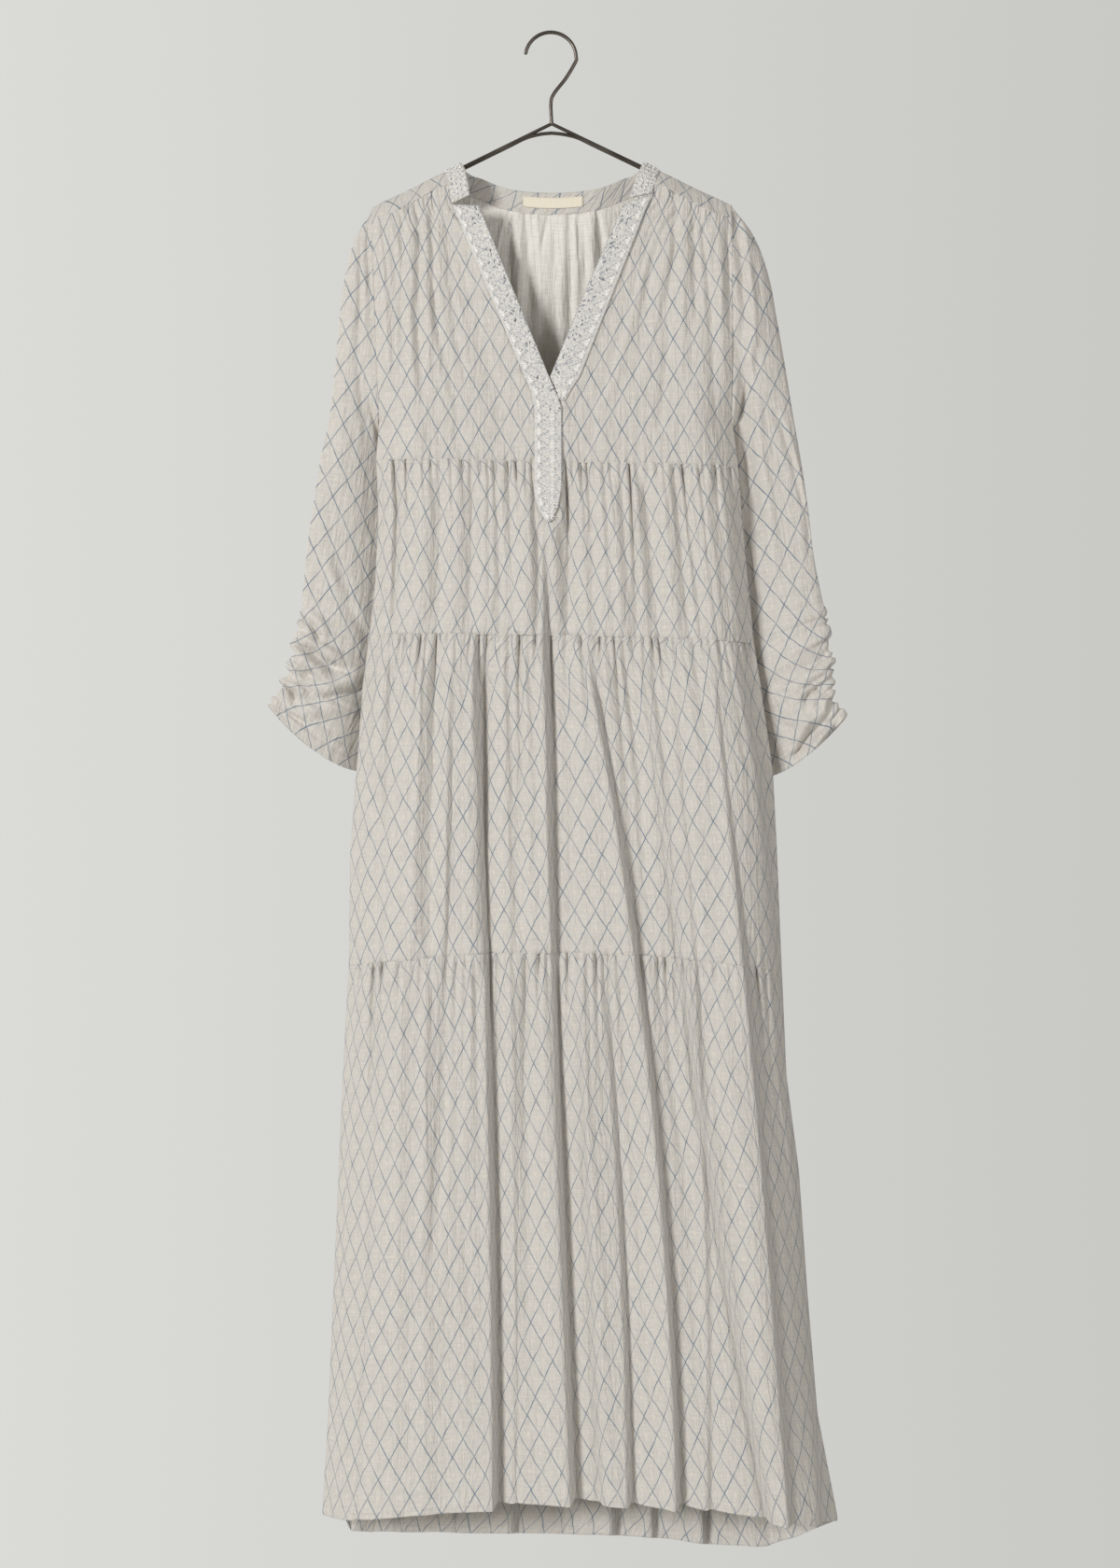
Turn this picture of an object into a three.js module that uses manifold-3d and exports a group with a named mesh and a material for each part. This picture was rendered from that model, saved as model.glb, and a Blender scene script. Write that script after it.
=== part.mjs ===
// Tiered dress on a wire hanger: a V neck with an embroidered placket, gathered fronts under narrow
// shoulder yokes, full sleeves ruched at the cuff, and three gathered tiers down to a maxi hem.
// Millimetres, +Z up, the front faces -Y, left and right as seen from the front. The origin is the
// inside of the top of the hook, where a rail or peg carries the hanger.
import * as THREE from 'three';
import { mergeVertices } from 'three/addons/utils/BufferGeometryUtils.js';
import Module from 'manifold-3d';

// Cloth
const WALL = 1.4;
const SEAM_GAP = 0.3;
const HALF_WALL = WALL / 2;
const SIDE_SEAM_Y = HALF_WALL + SEAM_GAP / 2;
const LAYER_STEP = WALL + SEAM_GAP;
// Share of a surface over which its slope is taken
const NEARBY = 2e-4;

// Hanger wire
const HOOK_RADIUS = 24.5;
const HOOK_WIRE = 1.8;
const ARM_WIRE = 1.7;
const HOOK_TURN = { tip: 169, end: -8, step: 14.75 };
// The hook's stem from the end of its bend down to the apex
const HOOK_STEM = [
  { x: 15, z: -42 },
  { x: 3.6, z: -56.7 },
  { x: 0.2, z: -66 },
];
const HOOK_STEPS = 24;
const APEX = { x: 0.9, z: -86.4 };
// The bow under the neck: its top, its shoulder and where it meets the arms that it then lies under
const BOW = { top: -95.4, shoulder: 11.2, shoulderZ: -96.6, reach: 25, blend: 18, drop: 1.6, steps: 8 };
const WIRE_END_SCALE = 1.04;
const ARM_SIDES = {
  left: { slope: 0.492, end: -164 },
  right: { slope: 0.479, end: 167 },
};
const WIRE_SIDES = 8;

// How far the shoulder line stands above the middle of the upper arm wire
const RIDGE_LIFT = 3.7;
const RIDGE_ROUND = 0.28;

// Side silhouette of the body, from the shoulder points to the hem
const SIDES = [
  { z: -170, left: -172, right: 174.5 },
  { z: -372, left: -165, right: 174.5 },
  { z: -409, left: -168, right: 180 },
  { z: -463, left: -166, right: 184 },
  { z: -530, left: -169, right: 190 },
  { z: -582, left: -175, right: 195 },
  { z: -627, left: -181, right: 202 },
  { z: -711, left: -187, right: 214 },
  { z: -790, left: -193, right: 218 },
  { z: -890, left: -194, right: 222 },
  { z: -1004, left: -200, right: 227 },
  { z: -1096, left: -204, right: 239 },
  { z: -1211, left: -209, right: 247 },
  { z: -1330, left: -214, right: 257 },
  { z: -1428, left: -220, right: 276 },
];

// Depth of the front and back from the middle plane, and the run over which a side rounds off
const DEPTHS = [
  { z: -148, front: 13.5, back: 13.5, run: 28 },
  { z: -178, front: 16, back: 16, run: 30 },
  { z: -250, front: 20, back: 18, run: 34 },
  { z: -335, front: 23, back: 20, run: 38 },
  { z: -415, front: 26, back: 22, run: 40 },
  { z: -585, front: 32, back: 25, run: 44 },
  { z: -890, front: 40, back: 28, run: 50 },
  { z: -1430, front: 50, back: 32, run: 60 },
];

// Armholes: the loop that each sleeve is set into
const ARMHOLE_DEPTH = 15;
const ARMHOLES = {
  left: { top: -169, bottom: -373 },
  right: { top: -166.5, bottom: -369 },
};

// Seams and hems, as heights at the left side, the middle and the right side
const FRONT_SEAMS = {
  waist: { left: -412, middle: -416, right: -419 },
  second: { left: -581, middle: -582, right: -588 },
  third: { left: -898, middle: -884, right: -903 },
  hem: { left: -1427, middle: -1403, right: -1433 },
};
const BACK_SEAMS = {
  waist: { left: -412, middle: -414, right: -419 },
  second: { left: -581, middle: -584, right: -588 },
  third: { left: -898, middle: -897, right: -903 },
  hem: { left: -1427, middle: -1458, right: -1433 },
};
// The back hem drops quickly beside the side seams
const BACK_HEM_DROP = { depth: 22, run: 0.07 };

// Yoke seams, as heights by distance from the middle of the neck
const NECK_MIDDLE = 1.7;
const YOKE_SEAM = [
  { out: 96, z: -146.5 },
  { out: 109, z: -150 },
  { out: 127, z: -161 },
  { out: 155, z: -176 },
  { out: 175, z: -178 },
];
const YOKE_NECK = { ridge: 104.8, lean: 5 };
// Distance from the middle at which the back neck seam meets the yoke seam
const BACK_NECK_HALF = 97.5;
// Ease left under the curved upper seams of the back
const BACK_SEAM_EASE = 0.85;

// Sections of the neckband from its left front end, over both shoulders, to its right front end
const NECKBAND_SECTIONS = [
  { seamX: -94.6, seamY: -17.4, seamZ: -167.6, topX: -77, topY: -17.8, topZ: -159 },
  { seamX: -96.6, seamY: -14.6, seamZ: -156, topX: -79.5, topY: -15.6, topZ: -143 },
  { seamX: -98.6, seamY: -9.4, seamZ: -143, topX: -83, topY: -9.6, topZ: -130.5 },
  { seamX: -102, seamY: 0, seamZ: -133.2, topX: -86.5, topY: 0, topZ: -124.8 },
  { seamX: -98.6, seamY: 9.4, seamZ: -142, topX: -83, topY: 9, topZ: -129.5 },
  { seamX: -88.3, seamY: 14, seamZ: -150, topX: -75, topY: 13, topZ: -134 },
  { seamX: -69.3, seamY: 15, seamZ: -157.2, topX: -67, topY: 14, topZ: -136.2 },
  { seamX: -40.3, seamY: 15.7, seamZ: -167, topX: -40, topY: 15, topZ: -146 },
  { seamX: 1.7, seamY: 16, seamZ: -171, topX: 1.7, topY: 15.4, topZ: -149.5 },
  { seamX: 43.7, seamY: 15.7, seamZ: -167, topX: 43.4, topY: 15, topZ: -146 },
  { seamX: 72.7, seamY: 15, seamZ: -157.2, topX: 70.4, topY: 14, topZ: -136.2 },
  { seamX: 91.7, seamY: 14, seamZ: -150, topX: 78.4, topY: 13, topZ: -134 },
  { seamX: 102, seamY: 9.4, seamZ: -142, topX: 86.4, topY: 9, topZ: -129.5 },
  { seamX: 105.4, seamY: 0, seamZ: -132, topX: 90, topY: 0, topZ: -124 },
  { seamX: 102, seamY: -9.4, seamZ: -142, topX: 86.4, topY: -9.6, topZ: -130.5 },
  { seamX: 99.6, seamY: -13.4, seamZ: -150, topX: 80, topY: -14.6, topZ: -146 },
  { seamX: 98, seamY: -16, seamZ: -157, topX: 75, topY: -17.4, topZ: -162 },
];

// The bare label: its place on the inside of the neckband
const LABEL = { left: -27, right: 31.5, top: 0.71, bottom: 0.23, wall: 1 };

// Placket bands, edge to edge down the V; the left one goes on into the tab
const PLACKET_OVER = [
  { outerX: -94.4, outerZ: -168.2, innerX: -68.4, innerZ: -169.5 },
  { outerX: -60.2, outerZ: -250, innerX: -35.8, innerZ: -250 },
  { outerX: -24.8, outerZ: -334, innerX: -1.4, innerZ: -334 },
  { outerX: -17.5, outerZ: -351, innerX: 5.6, innerZ: -350 },
  { outerX: -15.3, outerZ: -366, innerX: 10.8, innerZ: -364 },
  { outerX: -15.3, outerZ: -408, innerX: 10.8, innerZ: -408 },
  { outerX: -15.3, outerZ: -447, innerX: 10.8, innerZ: -441 },
  { outerX: -11.5, outerZ: -461, innerX: 7, innerZ: -460 },
  { outerX: -3.6, outerZ: -473.5, innerX: -0.6, innerZ: -473.5 },
];
const PLACKET_UNDER = [
  { outerX: 97, outerZ: -158, innerX: 69.5, innerZ: -169.4 },
  { outerX: 61.1, outerZ: -250, innerX: 33.8, innerZ: -250 },
  { outerX: 28.2, outerZ: -334, innerX: -0.4, innerZ: -334 },
  { outerX: 20, outerZ: -346, innerX: 4.6, innerZ: -345.5 },
  { outerX: 13.6, outerZ: -357.4, innerX: 9.2, innerZ: -356.6 },
];
const PLACKET_STEPS = 3;
// Where the tab lies, the gathers below it are pressed flat
const TAB = { middle: -2.2, half: 17, side: 5, end: -486, release: 14, lift: 0.5 };
// Stretch above and below the waist over which the tab rises onto the skirt
const TAB_RISE = { below: -25, above: 5 };
const PLACKET_EASE = 0.25;

// Inner edges of the front bodices
const BODICE_EDGE_LEFT = [
  { z: -147, x: -99.6 },
  { z: -168, x: -96 },
  { z: -174, x: -94.6 },
  { z: -200, x: -75 },
  { z: -250, x: -54.2 },
  { z: -334, x: -18.8 },
  { z: -362, x: -1.2 },
  { z: -420, x: -1.2 },
];
const BODICE_EDGE_RIGHT = [
  { z: -147, x: 103 },
  { z: -159, x: 99.8 },
  { z: -174, x: 85.5 },
  { z: -250, x: 55.1 },
  { z: -334, x: 22.2 },
  { z: -362, x: -0.8 },
  { z: -420, x: -0.8 },
];

// Gathers: how many, their height near the seam, and how they fade down the cloth
const GATHERS = {
  tierFront: { count: 22, peak: 3.1, tail: 1.7, fade: 150 },
  tierBack: { count: 14, peak: 3.4, tail: 2, fade: 150 },
  bodiceFront: { count: 9, peak: 1.5, tail: 1.1, fade: 110 },
  bodiceBack: { count: 10, peak: 1.5, tail: 1.2, fade: 120 },
};
const GATHER_BUILD = 9;
const GATHER_CALM = 36;
const GATHER_REST = 0.35;
const EDGE_CALM = 9;
// How the spacing and the fullness of the gathers change across the cloth
const UNEVEN_PLACES = [
  { halfWaves: 3, share: 0.009, turn: 0 },
  { halfWaves: 7, share: 0.006, turn: 2.6 },
  { halfWaves: 12, share: 0.004, turn: 1.1 },
];
const UNEVEN_HEIGHTS = { slow: 17, fast: 41, share: 0.2 };
// Distances of a tier's rows below its seam, and the least distance between the last two rows
const TIER_ROWS = { fine: [0, 9, 26], plain: [58, 110, 190, 290, 400], clear: 25 };

// Long folds of the skirt front. Each runs from a top through a middle to an end, with a crest on one
// side of its line and a trough on the other.
const FRONT_FOLDS = [
  {
    crest: -1, topX: -74, topZ: -560, midX: -61, midZ: -888, endX: -52, endZ: -1421,
    rise: 8, dip: 9, crestRun: 60, troughRun: 22,
  },
  {
    crest: -1, topX: -9, topZ: -470, midX: 3, midZ: -878, endX: 22, endZ: -1416,
    rise: 7, dip: 9, crestRun: 26, troughRun: 20,
  },
  {
    crest: -1, topX: 31, topZ: -575, midX: 79, midZ: -865, endX: 121, endZ: -1429,
    rise: 8, dip: 8, crestRun: 24, troughRun: 34,
  },
  {
    crest: -1, topX: 49, topZ: -880, midX: 64, midZ: -1092, endX: 75, endZ: -1416,
    rise: 4, dip: 6, crestRun: 18, troughRun: 10,
  },
  {
    crest: 1, topX: 88, topZ: -585, midX: 144, midZ: -1042, endX: 208, endZ: -1429,
    rise: 6, dip: 7, crestRun: 30, troughRun: 24,
  },
  {
    crest: -1, topX: 151, topZ: -580, midX: 183, midZ: -881, endX: 227, endZ: -1433,
    rise: 6, dip: 8, crestRun: 24, troughRun: 10,
  },
  {
    crest: -1, topX: 181, topZ: -585, midX: 211, midZ: -814, endX: 259, endZ: -1413,
    rise: 5, dip: 6, crestRun: 18, troughRun: 12,
  },
  {
    crest: -1, topX: -130, topZ: -600, midX: -134, midZ: -1000, endX: -150, endZ: -1421,
    rise: 3, dip: 4, crestRun: 24, troughRun: 20,
  },
];
const BACK_FOLDS = [
  {
    crest: -1, topX: -120, topZ: -560, midX: -128, midZ: -900, endX: -140, endZ: -1440,
    rise: 5, dip: 5, crestRun: 40, troughRun: 24,
  },
  {
    crest: -1, topX: -30, topZ: -500, midX: -34, midZ: -900, endX: -25, endZ: -1440,
    rise: 5, dip: 6, crestRun: 34, troughRun: 22,
  },
  {
    crest: 1, topX: 40, topZ: -580, midX: 52, midZ: -900, endX: 62, endZ: -1440,
    rise: 5, dip: 6, crestRun: 26, troughRun: 20,
  },
  {
    crest: 1, topX: 110, topZ: -580, midX: 130, midZ: -900, endX: 152, endZ: -1440,
    rise: 6, dip: 6, crestRun: 40, troughRun: 20,
  },
];
const FOLD_START = 0.25;
const FOLD_BUILD = 90;
const FOLD_EDGE = 4;

// Sleeve sections from the armhole to the cuff: outer contour point, inner seam point, half depth, and
// how far the section sags below the line between the two
const SLEEVE_LEFT = [
  { outX: -172, outZ: -169, inX: -165, inY: 0, inZ: -373, half: 15, sag: 0 },
  { outX: -189, outZ: -200, inX: -166.4, inY: 1, inZ: -375, half: 16, sag: 0 },
  { outX: -199, outZ: -238, inX: -165.5, inY: 5, inZ: -379, half: 16, sag: 0 },
  { outX: -204, outZ: -280, inX: -162.5, inY: 13, inZ: -386, half: 16, sag: 0 },
  { outX: -208, outZ: -325, inX: -156, inY: 24, inZ: -398, half: 15, sag: 0 },
  { outX: -213, outZ: -370, inX: -146, inY: 33, inZ: -418, half: 14, sag: 0 },
  { outX: -222, outZ: -412, inX: -137, inY: 38, inZ: -442, half: 13, sag: 0 },
  { outX: -229, outZ: -458, inX: -131, inY: 41, inZ: -478, half: 13, sag: 0 },
  { outX: -235, outZ: -500, inX: -130, inY: 42, inZ: -520, half: 14, sag: 1 },
  { outX: -239, outZ: -541, inX: -133, inY: 43, inZ: -564, half: 15, sag: 4 },
  { outX: -246, outZ: -580, inX: -138, inY: 44, inZ: -612, half: 16, sag: 10 },
  { outX: -254, outZ: -613, inX: -145, inY: 45, inZ: -662, half: 16, sag: 17 },
  { outX: -272, outZ: -647, inX: -152, inY: 44, inZ: -708, half: 14, sag: 24 },
];
const SLEEVE_RIGHT = [
  { outX: 174.5, outZ: -166.5, inX: 174.5, inY: 0, inZ: -369, half: 15, sag: 0 },
  { outX: 196, outZ: -196, inX: 176.2, inY: 1, inZ: -371, half: 16, sag: 0 },
  { outX: 210, outZ: -234, inX: 176.6, inY: 7, inZ: -375, half: 16, sag: 0 },
  { outX: 218, outZ: -276, inX: 174, inY: 17, inZ: -382, half: 16, sag: 0 },
  { outX: 226, outZ: -322, inX: 166, inY: 24, inZ: -394, half: 15, sag: 0 },
  { outX: 233, outZ: -366, inX: 157, inY: 33, inZ: -416, half: 14, sag: 0 },
  { outX: 241, outZ: -412, inX: 151, inY: 38, inZ: -442, half: 13, sag: 0 },
  { outX: 248, outZ: -460, inX: 149, inY: 41, inZ: -480, half: 13, sag: 0 },
  { outX: 253, outZ: -502, inX: 152, inY: 42, inZ: -522, half: 14, sag: 1 },
  { outX: 261, outZ: -543, inX: 156, inY: 43, inZ: -566, half: 15, sag: 4 },
  { outX: 270, outZ: -582, inX: 163, inY: 45, inZ: -614, half: 16, sag: 10 },
  { outX: 274, outZ: -618, inX: 172, inY: 46, inZ: -668, half: 16, sag: 16 },
  { outX: 284, outZ: -657, inX: 182, inY: 46, inZ: -716, half: 14, sag: 20 },
];
const SLEEVE_SEAM_STEP = 0.95;
const SLEEVE_ROUND = 14;
const SLEEVE_PLAIN_ROWS = 11;
const RUCHING = { start: 0.79, count: 7, height: 3, narrowing: 1.5 };
// Stretch of the sleeve over which its long folds grow from the armhole
const SLEEVE_FOLD_GROWTH = { from: 0.02, to: 0.3 };
const SLEEVE_FOLDS = [
  { angle: 1.15, height: 3.2, width: 0.34 },
  { angle: 2.1, height: -3, width: 0.3 },
  { angle: -1.3, height: 3, width: 0.34 },
  { angle: -2.2, height: -2.6, width: 0.3 },
];

// Rows of the bodice, close together beside the neckband and one at the underarm
const BODICE_ROWS = [0, 0.045, 0.1, 0.2, 0.36, 0.54, 0.7, 0.84, 1];
const BACK_BODICE_ROWS = [0, 0.08, 0.2, 0.36, 0.6, 0.84, 1];
// How a gathered front settles below the yoke and lies calm beside its edges
const FRONT_DRAPE = { settle: 0.16, calm: 0.06, phase: { left: 0.4, right: 1.9 } };
// The back's gathers: the share of its width that they take, and half their width at neck and waist
const BACK_BUNCH = { share: 0.7, top: 48, bottom: 112, fadeStart: 0.05, fadeRun: 0.12, phase: 0.8 };
const BACK_STEPS = 44;
// The lining hangs inside the back and stops short of the side seams
const LINING = { inset: 3.4, topInset: 0.6, trim: 22, rows: 5 };

const FINISHES = {
  printedCotton: { color: 0xddd8d0, roughness: 0.85, metalness: 0 },
  plainCotton: { color: 0xe8e5df, roughness: 0.9, metalness: 0 },
  embroideredCotton: { color: 0xe4e2de, roughness: 0.7, metalness: 0 },
  ribbon: { color: 0xeee6cf, roughness: 0.6, metalness: 0 },
  brushedSteel: { color: 0x6b6661, roughness: 0.4, metalness: 1 },
};

const wasm = await Module();
wasm.setup();

const { lerp, smoothstep, clamp } = THREE.MathUtils;

// Reads a column of a table at a key, with straight runs between the rows
function readTable(rows, key, column, at) {
  const rising = rows[rows.length - 1][key] > rows[0][key];
  const reached = rows.findIndex((row) => (rising ? row[key] >= at : row[key] <= at));
  if (reached === 0) return rows[0][column];
  if (reached < 0) return rows[rows.length - 1][column];
  const before = rows[reached - 1];
  const after = rows[reached];
  return lerp(before[column], after[column], (at - before[key]) / (after[key] - before[key]));
}

// Reads a column of a table along its rows, 0 at the first and 1 at the last, on a smooth curve
function readSmooth(rows, column, along) {
  const place = clamp(along, 0, 1) * (rows.length - 1);
  const index = Math.min(Math.floor(place), rows.length - 2);
  const part = place - index;
  const here = rows[index][column];
  const next = rows[index + 1][column];
  const before = index > 0 ? rows[index - 1][column] : 2 * here - next;
  const after = index < rows.length - 2 ? rows[index + 2][column] : 2 * next - here;
  const a = -0.5 * before + 1.5 * here - 1.5 * next + 0.5 * after;
  const b = before - 2.5 * here + 2 * next - 0.5 * after;
  const c = -0.5 * before + 0.5 * next;
  return ((a * part + b) * part + c) * part + here;
}

// Place of a point across the body at its height, 0 at the left side seam and 1 at the right one
function bodyAcross(x, z) {
  const left = readTable(SIDES, 'z', 'left', z);
  return (x - left) / (readTable(SIDES, 'z', 'right', z) - left);
}

// Reads a seam's height across the body, on the curve through its left, middle and right
function seamHeight(seam, across) {
  const bow = 4 * across * (1 - across);
  return lerp(seam.left, seam.right, across) + bow * (seam.middle - (seam.left + seam.right) / 2);
}

function armHeight(side, x) {
  return APEX.z - ARM_SIDES[side].slope * Math.abs(x - APEX.x);
}

// Depth of the cloth's edge at the side: open along the armhole, closed below it
function edgeDepth(side, z) {
  const { top, bottom } = ARMHOLES[side];
  const place = clamp((2 * z - top - bottom) / (top - bottom), -1, 1);
  return Math.max(SIDE_SEAM_Y, ARMHOLE_DEPTH * Math.sqrt(1 - place * place));
}

// Depth of the body's cloth from the middle plane, before folds and gathers
function bodyDepth(face, x, z) {
  const left = readTable(SIDES, 'z', 'left', z);
  const right = readTable(SIDES, 'z', 'right', z);
  const run = readTable(DEPTHS, 'z', 'run', z);
  const full = readTable(DEPTHS, 'z', face, z);
  const side = x - left < right - x ? 'left' : 'right';
  const inside = clamp(Math.min(x - left, right - x) / run, 0, 1);
  const edge = edgeDepth(side, z);
  return edge + (full - edge) * Math.sin((inside * Math.PI) / 2);
}

// Rise or dip of the long folds at a point
function foldLift(folds, x, z) {
  let lift = 0;
  for (const fold of folds) {
    const down = (z - fold.topZ) / (fold.endZ - fold.topZ);
    if (down <= 0) continue;
    const middle = (fold.midZ - fold.topZ) / (fold.endZ - fold.topZ);
    const bow = (down * (1 - down)) / (middle * (1 - middle));
    const line = lerp(fold.topX, fold.endX, down)
      + bow * (fold.midX - lerp(fold.topX, fold.endX, middle));
    const away = (x - line) * fold.crest;
    const crest = fold.rise * Math.exp(Math.min(0, -away) / fold.crestRun);
    const trough = -fold.dip * Math.exp(Math.min(0, away) / fold.troughRun);
    const strength = lerp(FOLD_START, 1, down) * smoothstep(fold.topZ - z, 0, FOLD_BUILD);
    lift += strength * lerp(trough, crest, smoothstep(away, -FOLD_EDGE, FOLD_EDGE));
  }
  return lift;
}

// Height of a gather at a distance below its seam, calmed again before the next seam
function gatherHeight(gathers, below, left) {
  const build = 1 - Math.exp(-below / GATHER_BUILD);
  const near = (gathers.peak - gathers.tail) * Math.exp(-below / GATHER_CALM);
  const far = gathers.tail * Math.exp(-below / gathers.fade);
  return build * (near + far) * lerp(GATHER_REST, 1, smoothstep(left, 0, GATHER_CALM));
}

// Shifts places across the cloth so that gathers are unevenly spaced; both ends stay
function uneven(across, phase) {
  return UNEVEN_PLACES.reduce(
    (place, { halfWaves, share, turn }) => (
      place + share * Math.sin(Math.PI * halfWaves * across) * Math.cos(phase + turn)
    ),
    across,
  );
}

// Height of the gathers across the cloth, some of them fuller than others
function gatherWave(count, across, phase) {
  const { slow, fast, share } = UNEVEN_HEIGHTS;
  const fullness = 1 - share + share * Math.sin(across * slow + phase) * Math.cos(across * fast - phase);
  return fullness * Math.cos(2 * Math.PI * count * across);
}

// Builds one closed wall of cloth round a surface, given as a function of places across and down.
// rows lists, for each row, its place down the cloth and how many steps it has across.
function clothWall(surface, rows, { wall = WALL, tube = false, squareTop = true, squareEnd = true } = {}) {
  const corners = [];
  const addCorner = (point) => corners.push(point.x, point.y, point.z) / 3 - 1;
  const grid = rows.map(({ down, steps }, rowIndex) => {
    const line = [];
    const last = tube ? steps - 1 : steps;
    for (let step = 0; step <= last; step += 1) {
      const across = step / steps;
      const point = surface(across, down);
      const back = tube ? across - NEARBY : Math.max(0, across - NEARBY);
      const ahead = tube ? across + NEARBY : Math.min(1, across + NEARBY);
      const over = surface(ahead, down).sub(surface(back, down));
      const below = surface(across, Math.min(1, down + NEARBY));
      const under = below.sub(surface(across, Math.max(0, down - NEARBY)));
      const normal = under.cross(over).normalize();
      const atEnd = (rowIndex === 0 && squareTop === true) || (rowIndex === rows.length - 1 && squareEnd);
      if (atEnd) normal.z = 0;
      if (squareTop === 'x' && rowIndex === 0) normal.x = 0;
      if (!tube && (step === 0 || step === steps)) normal.x = 0;
      normal.normalize().multiplyScalar(wall / 2);
      const outer = addCorner(point.clone().add(normal));
      const inner = addCorner(point.clone().sub(normal));
      line.push({ across, outer, inner });
    }
    if (tube) line.push({ ...line[0], across: 1 });
    return line;
  });
  const faces = [];
  const addQuad = (a, b, c, d) => faces.push(a, b, c, a, c, d);
  for (let row = 0; row + 1 < grid.length; row += 1) {
    const upper = grid[row];
    const lower = grid[row + 1];
    let high = 0;
    let low = 0;
    while (high < upper.length - 1 || low < lower.length - 1) {
      const moveHigh = low === lower.length - 1
        || (high < upper.length - 1 && upper[high + 1].across <= lower[low + 1].across);
      const third = moveHigh ? upper[high + 1] : lower[low + 1];
      faces.push(upper[high].outer, lower[low].outer, third.outer);
      faces.push(upper[high].inner, third.inner, lower[low].inner);
      if (moveHigh) high += 1;
      else low += 1;
    }
    if (!tube) {
      const end = upper.length - 1;
      const lowEnd = lower.length - 1;
      addQuad(upper[0].outer, upper[0].inner, lower[0].inner, lower[0].outer);
      addQuad(upper[end].outer, lower[lowEnd].outer, lower[lowEnd].inner, upper[end].inner);
    }
  }
  const first = grid[0];
  const final = grid[grid.length - 1];
  for (let step = 0; step + 1 < first.length; step += 1) {
    addQuad(first[step].outer, first[step + 1].outer, first[step + 1].inner, first[step].inner);
  }
  for (let step = 0; step + 1 < final.length; step += 1) {
    addQuad(final[step].outer, final[step].inner, final[step + 1].inner, final[step + 1].outer);
  }
  const geometry = new THREE.BufferGeometry();
  geometry.setAttribute('position', new THREE.Float32BufferAttribute(corners, 3));
  geometry.setIndex(faces);
  return geometry;
}

function evenRows(count, steps) {
  return Array.from({ length: count + 1 }, (_, row) => ({ down: row / count, steps }));
}

// A front or back panel of one tier, between its upper seam and its lower seam or hem
function tierSurface(face, upperSeam, lowerSeam, gathers, phase, isHem) {
  const folds = face === 'front' ? FRONT_FOLDS : BACK_FOLDS;
  const facing = face === 'front' ? -1 : 1;
  return (across, down) => {
    const place = uneven(across, phase);
    const top = seamHeight(upperSeam, place) - SEAM_GAP / 2;
    const edge = Math.min(across, 1 - across) / BACK_HEM_DROP.run;
    const deepest = face === 'back' ? BACK_HEM_DROP.depth : 0;
    const drop = deepest * Math.sin((clamp(edge, 0, 1) * Math.PI) / 2);
    const raise = 4 * across * (1 - across) * deepest;
    const bottom = seamHeight(lowerSeam, place) + (isHem ? raise - drop : SEAM_GAP / 2);
    const z = lerp(top, bottom, down);
    const left = readTable(SIDES, 'z', 'left', z);
    const right = readTable(SIDES, 'z', 'right', z);
    const x = lerp(left, right, place);
    const calm = smoothstep(Math.min(x - left, right - x), 0, EDGE_CALM);
    const pressed = smoothstep(TAB.half - Math.abs(x - TAB.middle), 0, TAB.side)
      * smoothstep(z, TAB.end, TAB.end + TAB.release);
    const underTab = face === 'front' ? 1 - pressed : 1;
    const remaining = isHem ? GATHER_CALM : z - bottom;
    const gather = gatherHeight(gathers, top - z, remaining) * gatherWave(gathers.count, across, phase);
    const depth = bodyDepth(face, x, z) + calm * (foldLift(folds, x, z) + underTab * gather);
    return new THREE.Vector3(x, facing * depth, z);
  };
}

// Rows of a tier: dense and finely divided below the seam, sparser towards the next one
function tierRows(height, gathers, fineSteps) {
  const plain = TIER_ROWS.plain.filter((below) => below < height - TIER_ROWS.clear);
  const rowAt = (below, stepsEach) => ({ down: below / height, steps: gathers.count * stepsEach });
  return [
    ...TIER_ROWS.fine.map((below) => rowAt(below, fineSteps)),
    ...plain.map((below) => rowAt(below, 2)),
    rowAt(height, 2),
  ];
}

function yokeSeamHeight(x) {
  return readTable(YOKE_SEAM, 'out', 'z', Math.abs(x - NECK_MIDDLE));
}

// Height of the back's upper edge: the neckband's seam in the middle, the yoke seams beside it
function backTopHeight(x) {
  const out = Math.abs(x - NECK_MIDDLE);
  if (out > BACK_NECK_HALF) return yokeSeamHeight(x) - BACK_SEAM_EASE;
  return neckbandSurface(neckbandPlace(x), 1).z - SEAM_GAP - BACK_SEAM_EASE;
}

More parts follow.
